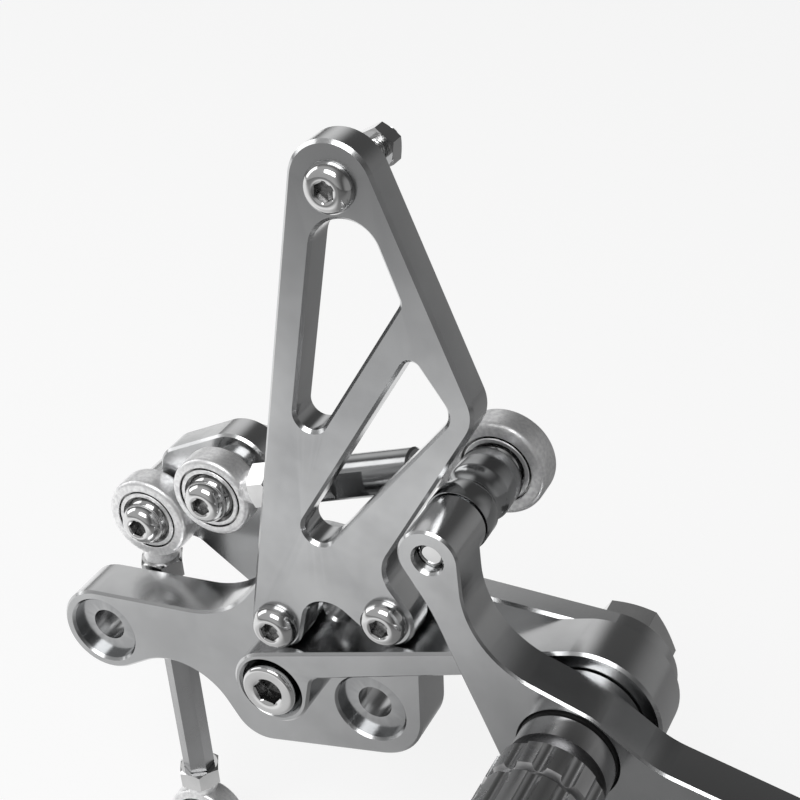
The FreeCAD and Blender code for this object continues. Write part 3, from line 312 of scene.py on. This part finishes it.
@dataclass
class Form:
    """Mesh under construction, in millimetres, round a local axis."""

    segments: int = 96
    mesh: bmesh.types.BMesh = field(default_factory=bmesh.new)

    def stack(self, rings: Sequence[Ring], axis: str = "Y", turn: float = 0.0, lining: bool = False) -> None:
        """Join rings one after the other into a skin.

        Args:
            rings: Rings in order along the skin. A radius of 0 closes the skin.
            axis: "Y" for a turned head, "X" for a shank.
            turn: Angle in radians that a hexagon is turned by.
            lining: Whether the skin takes the piece's second material, the painted shade of recesses, as a
                socket's walls do.
        """
        rows: list[list[bmesh.types.BMVert]] = []
        for ring in rings:
            if ring.radius == 0 and not ring.flats:
                rows.append([self.mesh.verts.new(self.spot(axis, 0, 0, ring.height))])
                continue
            row = []
            for step in range(self.segments):
                angle = 2 * math.pi * step / self.segments
                radius, height = ring.point(angle)
                row.append(self.mesh.verts.new(self.spot(axis, radius, angle + turn, height)))
            rows.append(row)
        self.join(rows, lining)

    def join(self, rows: Sequence[list[bmesh.types.BMVert]], lining: bool = False) -> None:
        """Fill the bands between rows of points with faces.

        Args:
            rows: Rows in order, each with one point for each segment, or with a single point.
            lining: Whether the faces take the piece's second material.
        """
        for low, high in zip(rows, rows[1:]):
            for step in range(self.segments):
                following = (step + 1) % self.segments
                if len(low) == 1:
                    corners = (low[0], high[step], high[following])
                elif len(high) == 1:
                    corners = (low[step], high[0], low[following])
                else:
                    corners = (low[step], high[step], high[following], low[following])
                self.mesh.faces.new(corners).material_index = int(lining)

    @staticmethod
    def spot(axis: str, radius: float, angle: float, height: float) -> Vector:
        """Find a point round an axis.

        Args:
            axis: "X" or "Y".
            radius: Distance from the axis.
            angle: Angle round the axis, in radians.
            height: Place along the axis.

        Returns:
            The point in the form.
        """
        if axis == "X":
            return Vector((height, radius * math.cos(angle), radius * math.sin(angle)))
        return Vector((radius * math.sin(angle), height, radius * math.cos(angle)))

    def thread(self, radius: float, pitch: float, start: float, end: float, depth: float,
               axis: str = "X") -> None:
        """Add a helical thread.

        Args:
            radius: Crest radius.
            pitch: Rise of one turn.
            start: Height where the thread starts.
            end: Height where it ends.
            depth: From crest to root.
            axis: Local axis of the thread.
        """
        rows_per_turn = 8
        flank_slope = 2.6
        crest = 0.15
        count = int((end - start) / pitch * rows_per_turn)
        rows = []
        for level in range(count + 1):
            height = start + (end - start) * level / count
            row = []
            for step in range(self.segments):
                share = (height / pitch - step / self.segments) % 1.0
                reach = radius - depth * min(1.0, max(0.0, abs(share - 0.5) * flank_slope - crest))
                angle = 2 * math.pi * step / self.segments
                row.append(self.mesh.verts.new(self.spot(axis, reach, angle, height)))
            rows.append(row)
        self.join(rows)

    def finish(self, name: str, place: Matrix, smooth: float = 35.0) -> bpy.types.Object:
        """Turn the form into an object.

        Args:
            name: Name of the piece.
            place: Where the form stands, in metres, scaled from millimetres.
            smooth: Edges sharper than this many degrees stay hard.

        Returns:
            The new object, linked to the scene.
        """
        bmesh.ops.transform(self.mesh, matrix=place, verts=self.mesh.verts)
        bmesh.ops.remove_doubles(self.mesh, verts=self.mesh.verts, dist=WELD)
        bmesh.ops.recalc_face_normals(self.mesh, faces=self.mesh.faces)
        data = bpy.data.meshes.new(name)
        self.mesh.to_mesh(data)
        self.mesh.free()
        for polygon in data.polygons:
            polygon.use_smooth = True
        data.set_sharp_from_angle(angle=math.radians(smooth))
        piece = bpy.data.objects.new(name, data)
        bpy.context.scene.collection.objects.link(piece)
        return piece


def stand(x: float, y: float, z: float, lean: float = 0.0) -> Matrix:
    """Place of a form.

    Args:
        x: Forward position in millimetres.
        y: Inward position in millimetres.
        z: Height in millimetres.
        lean: Degrees that local +X rises above the row frame's +X.

    Returns:
        Matrix from millimetres in the form to metres in the row frame.
    """
    turn = Matrix.Rotation(-math.radians(lean), 4, "Y")
    return Matrix.Translation(Vector((x, y, z)) * MM) @ turn @ Matrix.Scale(MM, 4)


@dataclass
class Workshop:
    """Holds the finished materials and puts pieces into the frame."""

    materials: dict[Slot, bpy.types.Material] = field(default_factory=dict)
    # Painted shade that lines sockets and the races of rod ends.
    recess: bpy.types.Material | None = None

    def prepare(self) -> None:
        """Build every finish once."""
        for slot, finish in FINISHES.items():
            self.materials[slot] = finish.build()
        self.recess = RECESS_SHADE.build()

    def dress_frame(self) -> None:
        """Give every CAD node the finish of its slot."""
        slots = {entry["node"]: entry["material_slot"] for entry in frame["record"]["subparts"]}
        for node, shape in frame["nodes"].items():
            own = NODE_FINISHES.get(node)
            shape.data.materials.clear()
            shape.data.materials.append(own.build() if own else self.materials[Slot(slots[node])])

    def fit(self, piece: bpy.types.Object, slot: Slot, body: Body, nodes: Iterable[str],
            lined: bool = False) -> None:
        """Finish a piece and let it stand for CAD nodes.

        Args:
            piece: The new object.
            slot: Finish that it takes.
            body: Body that it rides on.
            nodes: CAD nodes that it replaces.
            lined: Whether parts of its skin are a lining, which takes the painted shade of recesses.
        """
        piece.data.materials.append(self.materials[slot])
        if lined:
            piece.data.materials.append(self.recess)
        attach(piece, body.value)
        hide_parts(*nodes)
        LOG.info("%s stands for %s", piece.name, ", ".join(nodes))


@dataclass
class ButtonScrew:
    """Stainless screw with a domed head and a hexagon socket, in millimetres.

    x and z place its axis, and seat is the place along Y where its head rests.
    socket_end and socket_point are shares of the head's height.
    """

    node: str
    body: Body
    x: float
    z: float
    seat: float
    length: float
    facing: Facing = Facing.OUTWARD
    head_radius: float = 5.25
    head_height: float = 3.3
    flats: float = 4.0
    shank_radius: float = 3.0
    pitch: float = 1.0
    thread_depth: float = 0.55
    tip_chamfer: float = 0.8
    rim_break: float = 0.15
    socket_mouth: float = 0.22
    socket_lead: float = 1.2
    socket_end: float = 0.32
    socket_point: float = 0.22
    turn: float = 0.2

    def build(self, shop: Workshop) -> None:
        """Build the head, its socket and the threaded shank.

        Args:
            shop: Workshop that finishes the screw.
        """
        form = Form()
        way = -self.facing.value
        top = self.head_height
        rim = self.head_radius
        lead = self.flats / 2 * self.socket_lead
        mouth = Ring(0, top - self.socket_mouth, self.flats)
        head = [Ring(self.shank_radius, 0.0), Ring(rim - self.rim_break, 0.0), Ring(rim, self.rim_break)]
        head += self.dome() + [Ring(lead + 0.1, top), Ring(lead, top - 0.05), mouth]
        socket = [mouth, Ring(0, top * self.socket_end, self.flats * SOCKET_TAPER),
                  Ring(0, top * self.socket_point)]
        # The socket's walls take the painted shade of recesses.
        for skin in (head, socket):
            form.stack([Ring(ring.radius, -way * ring.height, ring.flats) for ring in skin], turn=self.turn,
                       lining=skin is socket)
        thread_end = way * (self.length - self.tip_chamfer)
        low, high = sorted((way * 0.0, thread_end))
        form.thread(self.shank_radius, self.pitch, low, high, self.thread_depth, "Y")
        form.stack([Ring(self.shank_radius - 0.3, thread_end),
                    Ring(self.shank_radius - 0.8, way * self.length), Ring(0, way * self.length)])
        piece = form.finish(f"{self.node}_detail", stand(self.x, self.seat, self.z))
        shop.fit(piece, Slot.STAINLESS, self.body, [self.node], lined=True)

    def dome(self) -> list[Ring]:
        """Shape the crown of the head.

        Returns:
            Rings from the head's straight side up to its small flat.
        """
        rings = []
        steps = 10
        first, last = math.radians(4), math.radians(84)
        side = self.head_height * 0.16
        flat = self.head_radius * 0.56
        for step in range(steps + 1):
            angle = first + (last - first) * step / steps
            out = (math.cos(angle) - math.cos(last)) / (math.cos(first) - math.cos(last))
            rise = (math.sin(angle) - math.sin(first)) / (math.sin(last) - math.sin(first))
            reach = flat + (self.head_radius - flat) * out
            rings.append(Ring(reach, side + (self.head_height - side) * rise))
        return rings


@dataclass
class CapScrew:
    """Socket cap screw with a tall cylindrical head facing outward, in millimetres.

    socket_end is the depth of its hexagon, and socket_point that of the cone at its floor.
    """

    node: str
    x: float
    z: float
    seat: float
    length: float
    head_radius: float = 6.5
    head_height: float = 8.0
    flats: float = 6.0
    shank_radius: float = 4.0
    crown_radius: float = 0.9
    rim_break: float = 0.2
    socket_mouth: float = 0.45
    socket_lead: float = 1.18
    socket_end: float = 4.0
    socket_point: float = 0.8
    pitch: float = 1.25
    thread_depth: float = 0.7
    tip_chamfer: float = 0.8
    turn: float = 0.1

    def build(self, shop: Workshop) -> None:
        """Build the head, its socket and the shank.

        Args:
            shop: Workshop that finishes the screw.
        """
        form = Form()
        top = -self.head_height
        rim = self.head_radius
        crown = self.crown_radius
        lead = self.flats / 2 * self.socket_lead
        mouth = Ring(0, top + self.socket_mouth, self.flats)
        head = [Ring(self.shank_radius, 0.0), Ring(rim - self.rim_break, 0.0), Ring(rim, -self.rim_break)]
        head += [Ring(rim - crown + crown * math.cos(angle), top + crown - crown * math.sin(angle))
                 for angle in map(math.radians, range(0, 91, 15))]
        head += [Ring(lead + 0.15, top), Ring(lead, top + 0.1), mouth]
        form.stack(head, turn=self.turn)
        # The socket's walls take the painted shade of recesses.
        form.stack([mouth, Ring(0, top + self.socket_end, self.flats * SOCKET_TAPER),
                    Ring(0, top + self.socket_end + self.socket_point)], turn=self.turn, lining=True)
        thread_end = self.length - self.tip_chamfer
        form.thread(self.shank_radius, self.pitch, 0.0, thread_end, self.thread_depth, "Y")
        form.stack([Ring(self.shank_radius - 0.4, thread_end),
                    Ring(self.shank_radius - 1.0, self.length), Ring(0, self.length)])
        piece = form.finish(f"{self.node}_detail", stand(self.x, self.seat, self.z))
        shop.fit(piece, Slot.STAINLESS, Body.FRAME_SIDE, [self.node], lined=True)


@dataclass
class RodEnd:
    """Rod end: a ring that holds a ball, with a threaded shank along local +X, in millimetres.

    land and groove are profiles of the ring's face from the ball outwards. Each
    point lies so far beyond the seat's radius and so deep under the face. The
    neck's flare has points so far inside its radius and beyond the ring's.
    """

    node: str
    body: Body
    centre: Point
    lean: float
    thread_length: float
    eye: float = 10.0
    neck: float = 12.5
    width: float = 7.2
    seat: float = 6.4
    recess: float = 0.8
    land: Profile = ((0.0, 0.0), (0.75, 0.0), (0.95, 0.15))
    groove: Profile = ((0.95, 0.15), (1.0, 0.8), (1.3, 0.8), (1.4, 0.12))
    rim_start: float = 1.55
    rim_drop: float = 0.05
    rim_radius: float = 1.15
    rim_height: float = 1.2
    neck_radius: float = 4.3
    neck_start: float = 1.6
    flare: Profile = ((0.6, -1.0), (0.25, 0.4), (0.0, 1.2))
    thread_radius: float = 3.0
    pitch: float = 1.0
    thread_depth: float = 0.55

    def build(self, shop: Workshop) -> None:
        """Build the ring with its race and the shank with its thread.

        Args:
            shop: Workshop that finishes the rod end.
        """
        form = Form(segments=112)
        self.ring(form)
        self.shank(form)
        piece = form.finish(f"{self.node}_detail", stand(*self.centre, self.lean))
        shop.fit(piece, Slot.ZINC_PLATED, self.body, [self.node], lined=True)

    def ring(self, form: Form) -> None:
        """Add the ring: both faces, with the bevel and groove at the race and the seat of the ball in painted
        shade.

        Args:
            form: Form that takes the skins.
        """
        half = self.width / 2
        deep = half - self.recess
        centre = self.eye - self.rim_radius
        bevel = [Ring(self.seat_radius(deep), deep), Ring(self.seat, half)]
        land, groove = ([Ring(self.seat + beyond, half - under) for beyond, under in profile]
                        for profile in (self.land, self.groove))
        rim = [groove[-1], Ring(self.seat + self.rim_start, half), Ring(centre, half - self.rim_drop)]
        rim += [Ring(centre + self.rim_radius * math.cos(angle),
                     half - self.rim_height + self.rim_radius * math.sin(angle))
                for angle in map(math.radians, (72, 54, 36, 18, 0))]
        for way in (1, -1):
            for skin in (bevel, land, groove, rim):
                form.stack([Ring(ring.radius, way * ring.height) for ring in skin],
                           lining=skin is bevel or skin is groove)
        form.stack([rim[-1], Ring(self.eye, -rim[-1].height)])
        form.stack([Ring(self.seat_radius(height), height)
                    for height in (-deep, -deep / 2, 0.0, deep / 2, deep)], lining=True)

    def seat_radius(self, height: float) -> float:
        """Radius of the ball's seat at a height from the ring's middle."""
        return math.sqrt(self.seat ** 2 - height ** 2)

    def shank(self, form: Form) -> None:
        """Add the neck, which flares into the ring, and its thread.

        Args:
            form: Form that takes the skins.
        """
        rise = self.neck_radius
        neck = [Ring(rise - 0.9, self.seat + self.neck_start)]
        neck += [Ring(rise - inside, self.eye + beyond) for inside, beyond in self.flare]
        neck += [Ring(rise, self.neck - 0.5), Ring(rise - 0.4, self.neck),
                 Ring(self.thread_radius - 0.4, self.neck)]
        form.stack(neck, "X")
        form.thread(self.thread_radius, self.pitch, self.neck, self.neck + self.thread_length,
                    self.thread_depth)


@dataclass
class TurnedSpacer:
    """Turned spacer between lever and ball, with a hollow waist between two collars, in millimetres.

    The points of the collars' profiles lie so far inside the collar's radius.
    Those of the first and the second count their height from the lever, and
    those of the last count it back from the ball.
    """

    node: str = "lever_spacer"
    x: float = 96.6
    z: float = 68.2
    start: float = -23.1
    end: float = -3.0
    bore: float = 3.2
    collar: float = 6.8
    end_collar: float = 6.9
    end_face: float = 4.7
    waist: float = 5.5
    waist_start: float = 6.2
    waist_end: float = 11.4
    waist_shift: float = 0.8
    waist_fullness: float = 0.8
    first_profile: Profile = ((0.9, 0.0), (0.9, 0.5), (0.1, 0.55), (0.0, 0.7), (0.0, 5.8), (0.1, 6.0))
    second_profile: Profile = ((0.1, 11.6), (0.0, 11.9))
    last_profile: Profile = ((0.0, 1.8), (0.1, 1.5), (0.5, 1.1))

    def build(self, shop: Workshop) -> None:
        """Build the spacer from its profile.

        Args:
            shop: Workshop that finishes the spacer.
        """
        span = self.end - self.start
        rings = [Ring(self.bore, 0)]
        rings += [Ring(self.collar - inside, height) for inside, height in self.first_profile]
        rings += self.hollow()
        rings += [Ring(self.end_collar - inside, height) for inside, height in self.second_profile]
        rings += [Ring(self.end_collar - inside, span - back) for inside, back in self.last_profile]
        rings += [Ring(self.end_face, span), Ring(self.bore, span), Ring(self.bore, 0)]
        form = Form()
        form.stack(rings)
        piece = form.finish(f"{self.node}_detail", stand(self.x, self.start, self.z))
        shop.fit(piece, Slot.MACHINED_ALUMINIUM, Body.LEVER, [self.node])

    def hollow(self) -> list[Ring]:
        """Shape the waist, which is hollow and then swells into the end collar.

        Returns:
            Rings of the waist in order.
        """
        rings = []
        steps = 16
        for step in range(steps + 1):
            share = step / steps
            depth = math.sin(math.pi * share ** self.waist_shift) ** self.waist_fullness
            edge = self.collar - 0.2 + (self.end_collar - self.collar) * share
            height = self.waist_start + (self.waist_end - self.waist_start) * share
            rings.append(Ring(edge - (edge - self.waist) * depth, height))
        return rings


@dataclass
class LinkBolt:
    """Hexagon bolt through lever, spacer and ball; its threaded end shows in the lever, in millimetres."""

    node: str = "link_bolt"
    x: float = 96.6
    z: float = 68.2
    tip: float = -34.5
    seat: float = 6.0
    head_height: float = 4.0
    flats: float = 10.0
    radius: float = 3.0
    pitch: float = 1.0
    thread_depth: float = 0.55
    thread_run: float = 11.0
    tip_chamfer: float = 0.7
    face_share: float = 0.94
    dish_share: float = 0.6
    dish_depth: float = 0.3
    turn: float = 0.3763

    def build(self, shop: Workshop) -> None:
        """Build the head, the shank and the thread at its end.

        Args:
            shop: Workshop that finishes the bolt.
        """
        form = Form()
        top = self.seat + self.head_height
        half = self.flats / 2
        face = half * self.face_share
        form.stack([Ring(self.radius, self.seat + 0.3), Ring(face, self.seat),
                    Ring(0, self.seat + 0.15, self.flats, 0.5), Ring(0, top - 0.25, self.flats, -0.5),
                    Ring(face, top), Ring(half * self.dish_share, top),
                    Ring(half * 0.5, top - self.dish_depth), Ring(0, top - self.dish_depth)], turn=self.turn)
        first = self.tip + self.tip_chamfer
        last = self.tip + self.thread_run
        form.thread(self.radius, self.pitch, first, last, self.thread_depth, "Y")
        form.stack([Ring(0, self.tip), Ring(self.radius - 1.0, self.tip), Ring(self.radius - 0.35, first)])
        form.stack([Ring(self.radius - 0.3, last), Ring(self.radius - 0.05, last + 0.2),
                    Ring(self.radius - 0.05, self.seat + 0.4)])
        piece = form.finish(f"{self.node}_detail", stand(self.x, 0.0, self.z))
        shop.fit(piece, Slot.STAINLESS, Body.LEVER, [self.node])


@dataclass(frozen=True)
class Softbox:
    """Area light that faces the part, with places and sizes in metres and its power in watts."""

    name: str
    place: Point
    width: float
    height: float
    power: float
    target: Point = (0.06, 0.0, 0.05)

    def hang(self) -> None:
        """Add the light to the scene, out of the camera's sight."""
        data = bpy.data.lights.new(self.name, "AREA")
        data.shape = "RECTANGLE"
        data.size = self.width
        data.size_y = self.height
        data.energy = self.power
        lamp = bpy.data.objects.new(self.name, data)
        bpy.context.scene.collection.objects.link(lamp)
        way = Vector(self.target) - Vector(self.place)
        lamp.rotation_euler = way.to_track_quat("-Z", "Y").to_euler()
        lamp.location = self.place
        lamp.visible_camera = False


@dataclass(frozen=True)
class Panel:
    """Soft-edged bright patch of the surroundings.

    Each side has an axis, the value along it where the patch is dark and the
    value where it is bright.
    """

    strength: float
    sides: tuple[tuple[str, float, float], ...]


# What the plates mirror: a pale wall up behind on the left, a grey tent in front and two weaker patches,
# one behind on the right and one at the right.
PANELS = (
    Panel(0.8, (("Y", 0.2, 0.6), ("Z", -0.1, 0.3), ("X", -0.12, -0.5))),
    Panel(0.45, (("Y", 0.35, -0.2), ("X", 0.75, -0.1))),
    Panel(0.22, (("X", 0.3, 0.7), ("Y", 0.2, 0.7))),
    Panel(0.25, (("X", 0.65, 0.95), ("Z", -0.4, -0.2))),
)


@dataclass
class Studio:
    """Camera, lights, floor and surroundings, in metres."""

    eye: Point = (0.20214, -0.27432, 0.26306)
    right: Point = (0.9059, 0.4237, 0.0)
    forward: Point = (-0.3615, 0.7729, -0.5215)
    lens: float = 76.5
    sensor: float = 36.0
    nearest: float = 0.01
    floor_level: float = -0.0835
    floor_half: float = 1.6
    # Centre of the painted shadow on the floor round the part.
    floor_shadow_centre: tuple[float, float] = (0.0, -0.09)
    floor_paper: str = "#808080"
    floor_light: str = "#ffffff"
    floor_seen: float = 0.81
    dark_tone: float = 0.09
    wall_seen: float = 0.98
    lights: tuple[Softbox, ...] = (
        Softbox("key_light", (0.0, -0.8, 1.0), 0.8, 0.6, 7.0),
        Softbox("left_light", (-1.1, -0.1, 0.5), 0.5, 0.9, 2.5),
    )

    def build(self) -> None:
        """Set up the camera, the lights, the floor and the world."""
        self.camera()
        self.floor()
        self.world()
        for light in self.lights:
            light.hang()

    def camera(self) -> None:
        """Stand the camera where the photograph was taken from."""
        data = bpy.data.cameras.new("photo_camera")
        data.lens = self.lens
        data.sensor_width = self.sensor
        data.clip_start = self.nearest
        viewer = bpy.data.objects.new("photo_camera", data)
        bpy.context.scene.collection.objects.link(viewer)
        right = Vector(self.right).normalized()
        back = -Vector(self.forward).normalized()
        up = back.cross(right).normalized()
        turn = Matrix((right, up, back)).transposed().to_4x4()
        viewer.matrix_world = Matrix.Translation(Vector(self.eye)) @ turn
        bpy.context.scene.camera = viewer

    def floor(self) -> None:
        """Lay a pale floor under the part.

        What the plates mirror of it is a painted glow that falls off to grey in front and on the right, with
        a painted shadow close to the part.
        """
        shape = bmesh.new()
        bmesh.ops.create_grid(shape, x_segments=1, y_segments=1, size=self.floor_half)
        bmesh.ops.translate(shape, verts=shape.verts, vec=(0, 0, self.floor_level))
        data = bpy.data.meshes.new("floor")
        shape.to_mesh(data)
        shape.free()
        ground = bpy.data.objects.new("floor", data)
        bpy.context.scene.collection.objects.link(ground)
        paper = bpy.data.materials.new("white_paper_floor")
        paper.use_nodes = True
        tree = paper.node_tree
        shader = tree.nodes["Principled BSDF"]
        place = add_node(tree, "ShaderNodeTexCoord")
        parts = add_node(tree, "ShaderNodeSeparateXYZ", links={"Vector": place.outputs["Object"]})
        reach = add_node(tree, "ShaderNodeVectorMath",
                         {"operation": "DISTANCE", 1: (*self.floor_shadow_centre, self.floor_level)},
                         {0: place.outputs["Object"]})
        # Ramps of the painted glow over the front of the floor, round the part, where they paint its shadow,
        # and over its right side:
        # where each one runs in metres, and the light at both ends.
        painted_floor_glow = self.ramps(tree, [(parts.outputs["Y"], (-0.5, -0.15), (0.12, 0.98)),
                                 (reach.outputs["Value"], (0.04, 0.13), (0.6, 1.0)),
                                 (parts.outputs["X"], (-0.01, 0.11), (1.0, 0.12))])
        seen = add_node(tree, "ShaderNodeLightPath")
        shown = add_node(tree, "ShaderNodeMix", {"data_type": "FLOAT", "B": self.floor_seen},
                         {"Factor": seen.outputs["Is Camera Ray"], "A": painted_floor_glow})
        tree.links.new(shown.outputs["Result"], shader.inputs["Emission Strength"])
        shader.inputs["Base Color"].default_value = linear(self.floor_paper)
        shader.inputs["Roughness"].default_value = 0.9
        shader.inputs["Specular IOR Level"].default_value = 0.0
        shader.inputs["Emission Color"].default_value = linear(self.floor_light)
        data.materials.append(paper)

    def world(self) -> None:
        """Surround the part with a dark studio and its pale panels.

        What the camera sees past the floor stays pale.
        """
        world = bpy.data.worlds.new("studio")
        bpy.context.scene.world = world
        world.use_nodes = True
        tree = world.node_tree
        place = add_node(tree, "ShaderNodeTexCoord")
        parts = add_node(tree, "ShaderNodeSeparateXYZ", links={"Vector": place.outputs["Generated"]})
        total: bpy.types.NodeSocket | None = None
        for panel in PANELS:
            tops = [panel.strength] + [1.0] * (len(panel.sides) - 1)
            patch = self.ramps(tree, [(parts.outputs[axis], (dark, bright), (0.0, top))
                                      for (axis, dark, bright), top in zip(panel.sides, tops)])
            if total is None:
                total = patch
                continue
            both = add_node(tree, "ShaderNodeMath", {"operation": "ADD"}, {0: total, 1: patch})
            total = both.outputs["Value"]
        tone = add_node(tree, "ShaderNodeMapRange", {"To Min": self.dark_tone}, {"Value": total})
        seen = add_node(tree, "ShaderNodeLightPath")
        shown = add_node(tree, "ShaderNodeMix", {"data_type": "FLOAT", "B": self.wall_seen},
                         {"Factor": seen.outputs["Is Camera Ray"], "A": tone.outputs["Result"]})
        tree.links.new(shown.outputs["Result"], tree.nodes["Background"].inputs["Color"])
        bpy.context.scene.view_settings.view_transform = "Standard"

    @staticmethod
    def ramps(tree: bpy.types.NodeTree, steps: Sequence[tuple]) -> bpy.types.NodeSocket:
        """Multiply smooth ramps with each other.

        Args:
            tree: Node tree that takes them.
            steps: For each ramp its source, the two values that it runs between and the result at each.

        Returns:
            Socket of the product.
        """
        product: bpy.types.NodeSocket | None = None
        for source, (start, end), (first, last) in steps:
            ramp = add_node(tree, "ShaderNodeMapRange",
                            {"interpolation_type": "SMOOTHSTEP", "From Min": start, "From Max": end,
                             "To Min": first, "To Max": last}, {"Value": source})
            if product is None:
                product = ramp.outputs["Result"]
                continue
            both = add_node(tree, "ShaderNodeMath", {"operation": "MULTIPLY"},
                            {0: product, 1: ramp.outputs["Result"]})
            product = both.outputs["Value"]
        return product


@dataclass
class RearSet:
    """All detailed pieces of the rear set, in build order, with places in millimetres.

    The rings are the middles of the rod ends. link_rise is the slope of the link
    rod and drop_lean that of the drop rod, in degrees, and drop_reach is the
    distance between the drop rod's two rings.
    """

    rear_ring: Point = (26.5, 1.5, 40.5)
    front_ring: Point = (96.6, 1.5, 68.2)
    drop_ring: Point = (5.55, 5.7, 25.3)
    link_rise: float = 21.562
    drop_lean: float = 5.0
    drop_reach: float = 97.0

    def screws(self) -> list[ButtonScrew]:
        """List every screw with a domed head.

        Returns:
            The screws in build order.
        """
        return [
            ButtonScrew("guard_screw_rear", Body.FRAME_SIDE, 54.3, 27.6, -22.0, 21.0, turn=0.15),
            ButtonScrew("guard_screw_front", Body.FRAME_SIDE, 80.6, 37.5, -22.0, 21.0, turn=0.35),
            ButtonScrew("apex_screw", Body.FRAME_SIDE, 70.0, 134.6, -22.0, 26.0, head_radius=5.15,
                        head_height=2.8, flats=3.9, shank_radius=2.5, pitch=0.8, turn=0.5),
            ButtonScrew("rear_link_screw", Body.CRANK, 26.5, 40.5, -3.0, 28.0, turn=0.3),
            ButtonScrew("drop_link_screw", Body.CRANK, 5.55, 25.3, 1.2, 23.8, turn=0.1),
            ButtonScrew("crank_screw", Body.FRAME_SIDE, 41.0, 12.0, 19.5, 17.5, Facing.INWARD),
            ButtonScrew("toe_peg_screw", Body.LEVER, 214.0, 12.0, -26.5, 28.2, Facing.INWARD),
        ]

    def rod_ends(self) -> list[RodEnd]:
        """List the four rod ends.

        Returns:
            The rod ends in build order.
        """
        lean = math.radians(self.drop_lean)
        low = (self.drop_ring[0] + self.drop_reach * math.sin(lean), self.drop_ring[1],
               self.drop_ring[2] - self.drop_reach * math.cos(lean))
        return [
            RodEnd("link_rod_end_front", Body.LINK, self.front_ring, self.link_rise + 180, 16.0,
                   eye=10.9, neck=16.5),
            RodEnd("link_rod_end_rear", Body.LINK, self.rear_ring, self.link_rise, 17.0, seat=6.45),
            RodEnd("drop_rod_end_upper", Body.DROP, self.drop_ring, self.drop_lean - 90, 17.0, eye=10.6),
            RodEnd("drop_rod_end_lower", Body.DROP, low, self.drop_lean + 90, 17.0),
        ]

    def build(self, shop: Workshop) -> None:
        """Build every detailed piece.

        Args:
            shop: Workshop that finishes the pieces.
        """
        for screw in self.screws():
            screw.build(shop)
        CapScrew("peg_plate_screw", 53.2, 10.5, -17.5, 16.5).build(shop)
        CapScrew("peg_bolt", 127.0, 30.7, -125.5, 99.5, turn=0.4).build(shop)
        for rod_end in self.rod_ends():
            rod_end.build(shop)
        TurnedSpacer().build(shop)
        LinkBolt().build(shop)


def main() -> None:
    """Build the studio, dress the frame and add the detailed pieces."""
    logging.basicConfig(level=logging.INFO, format="%(name)s: %(message)s")
    Studio().build()
    shop = Workshop()
    shop.prepare()
    shop.dress_frame()
    RearSet().build(shop)


if __name__ == "__main__":
    main()
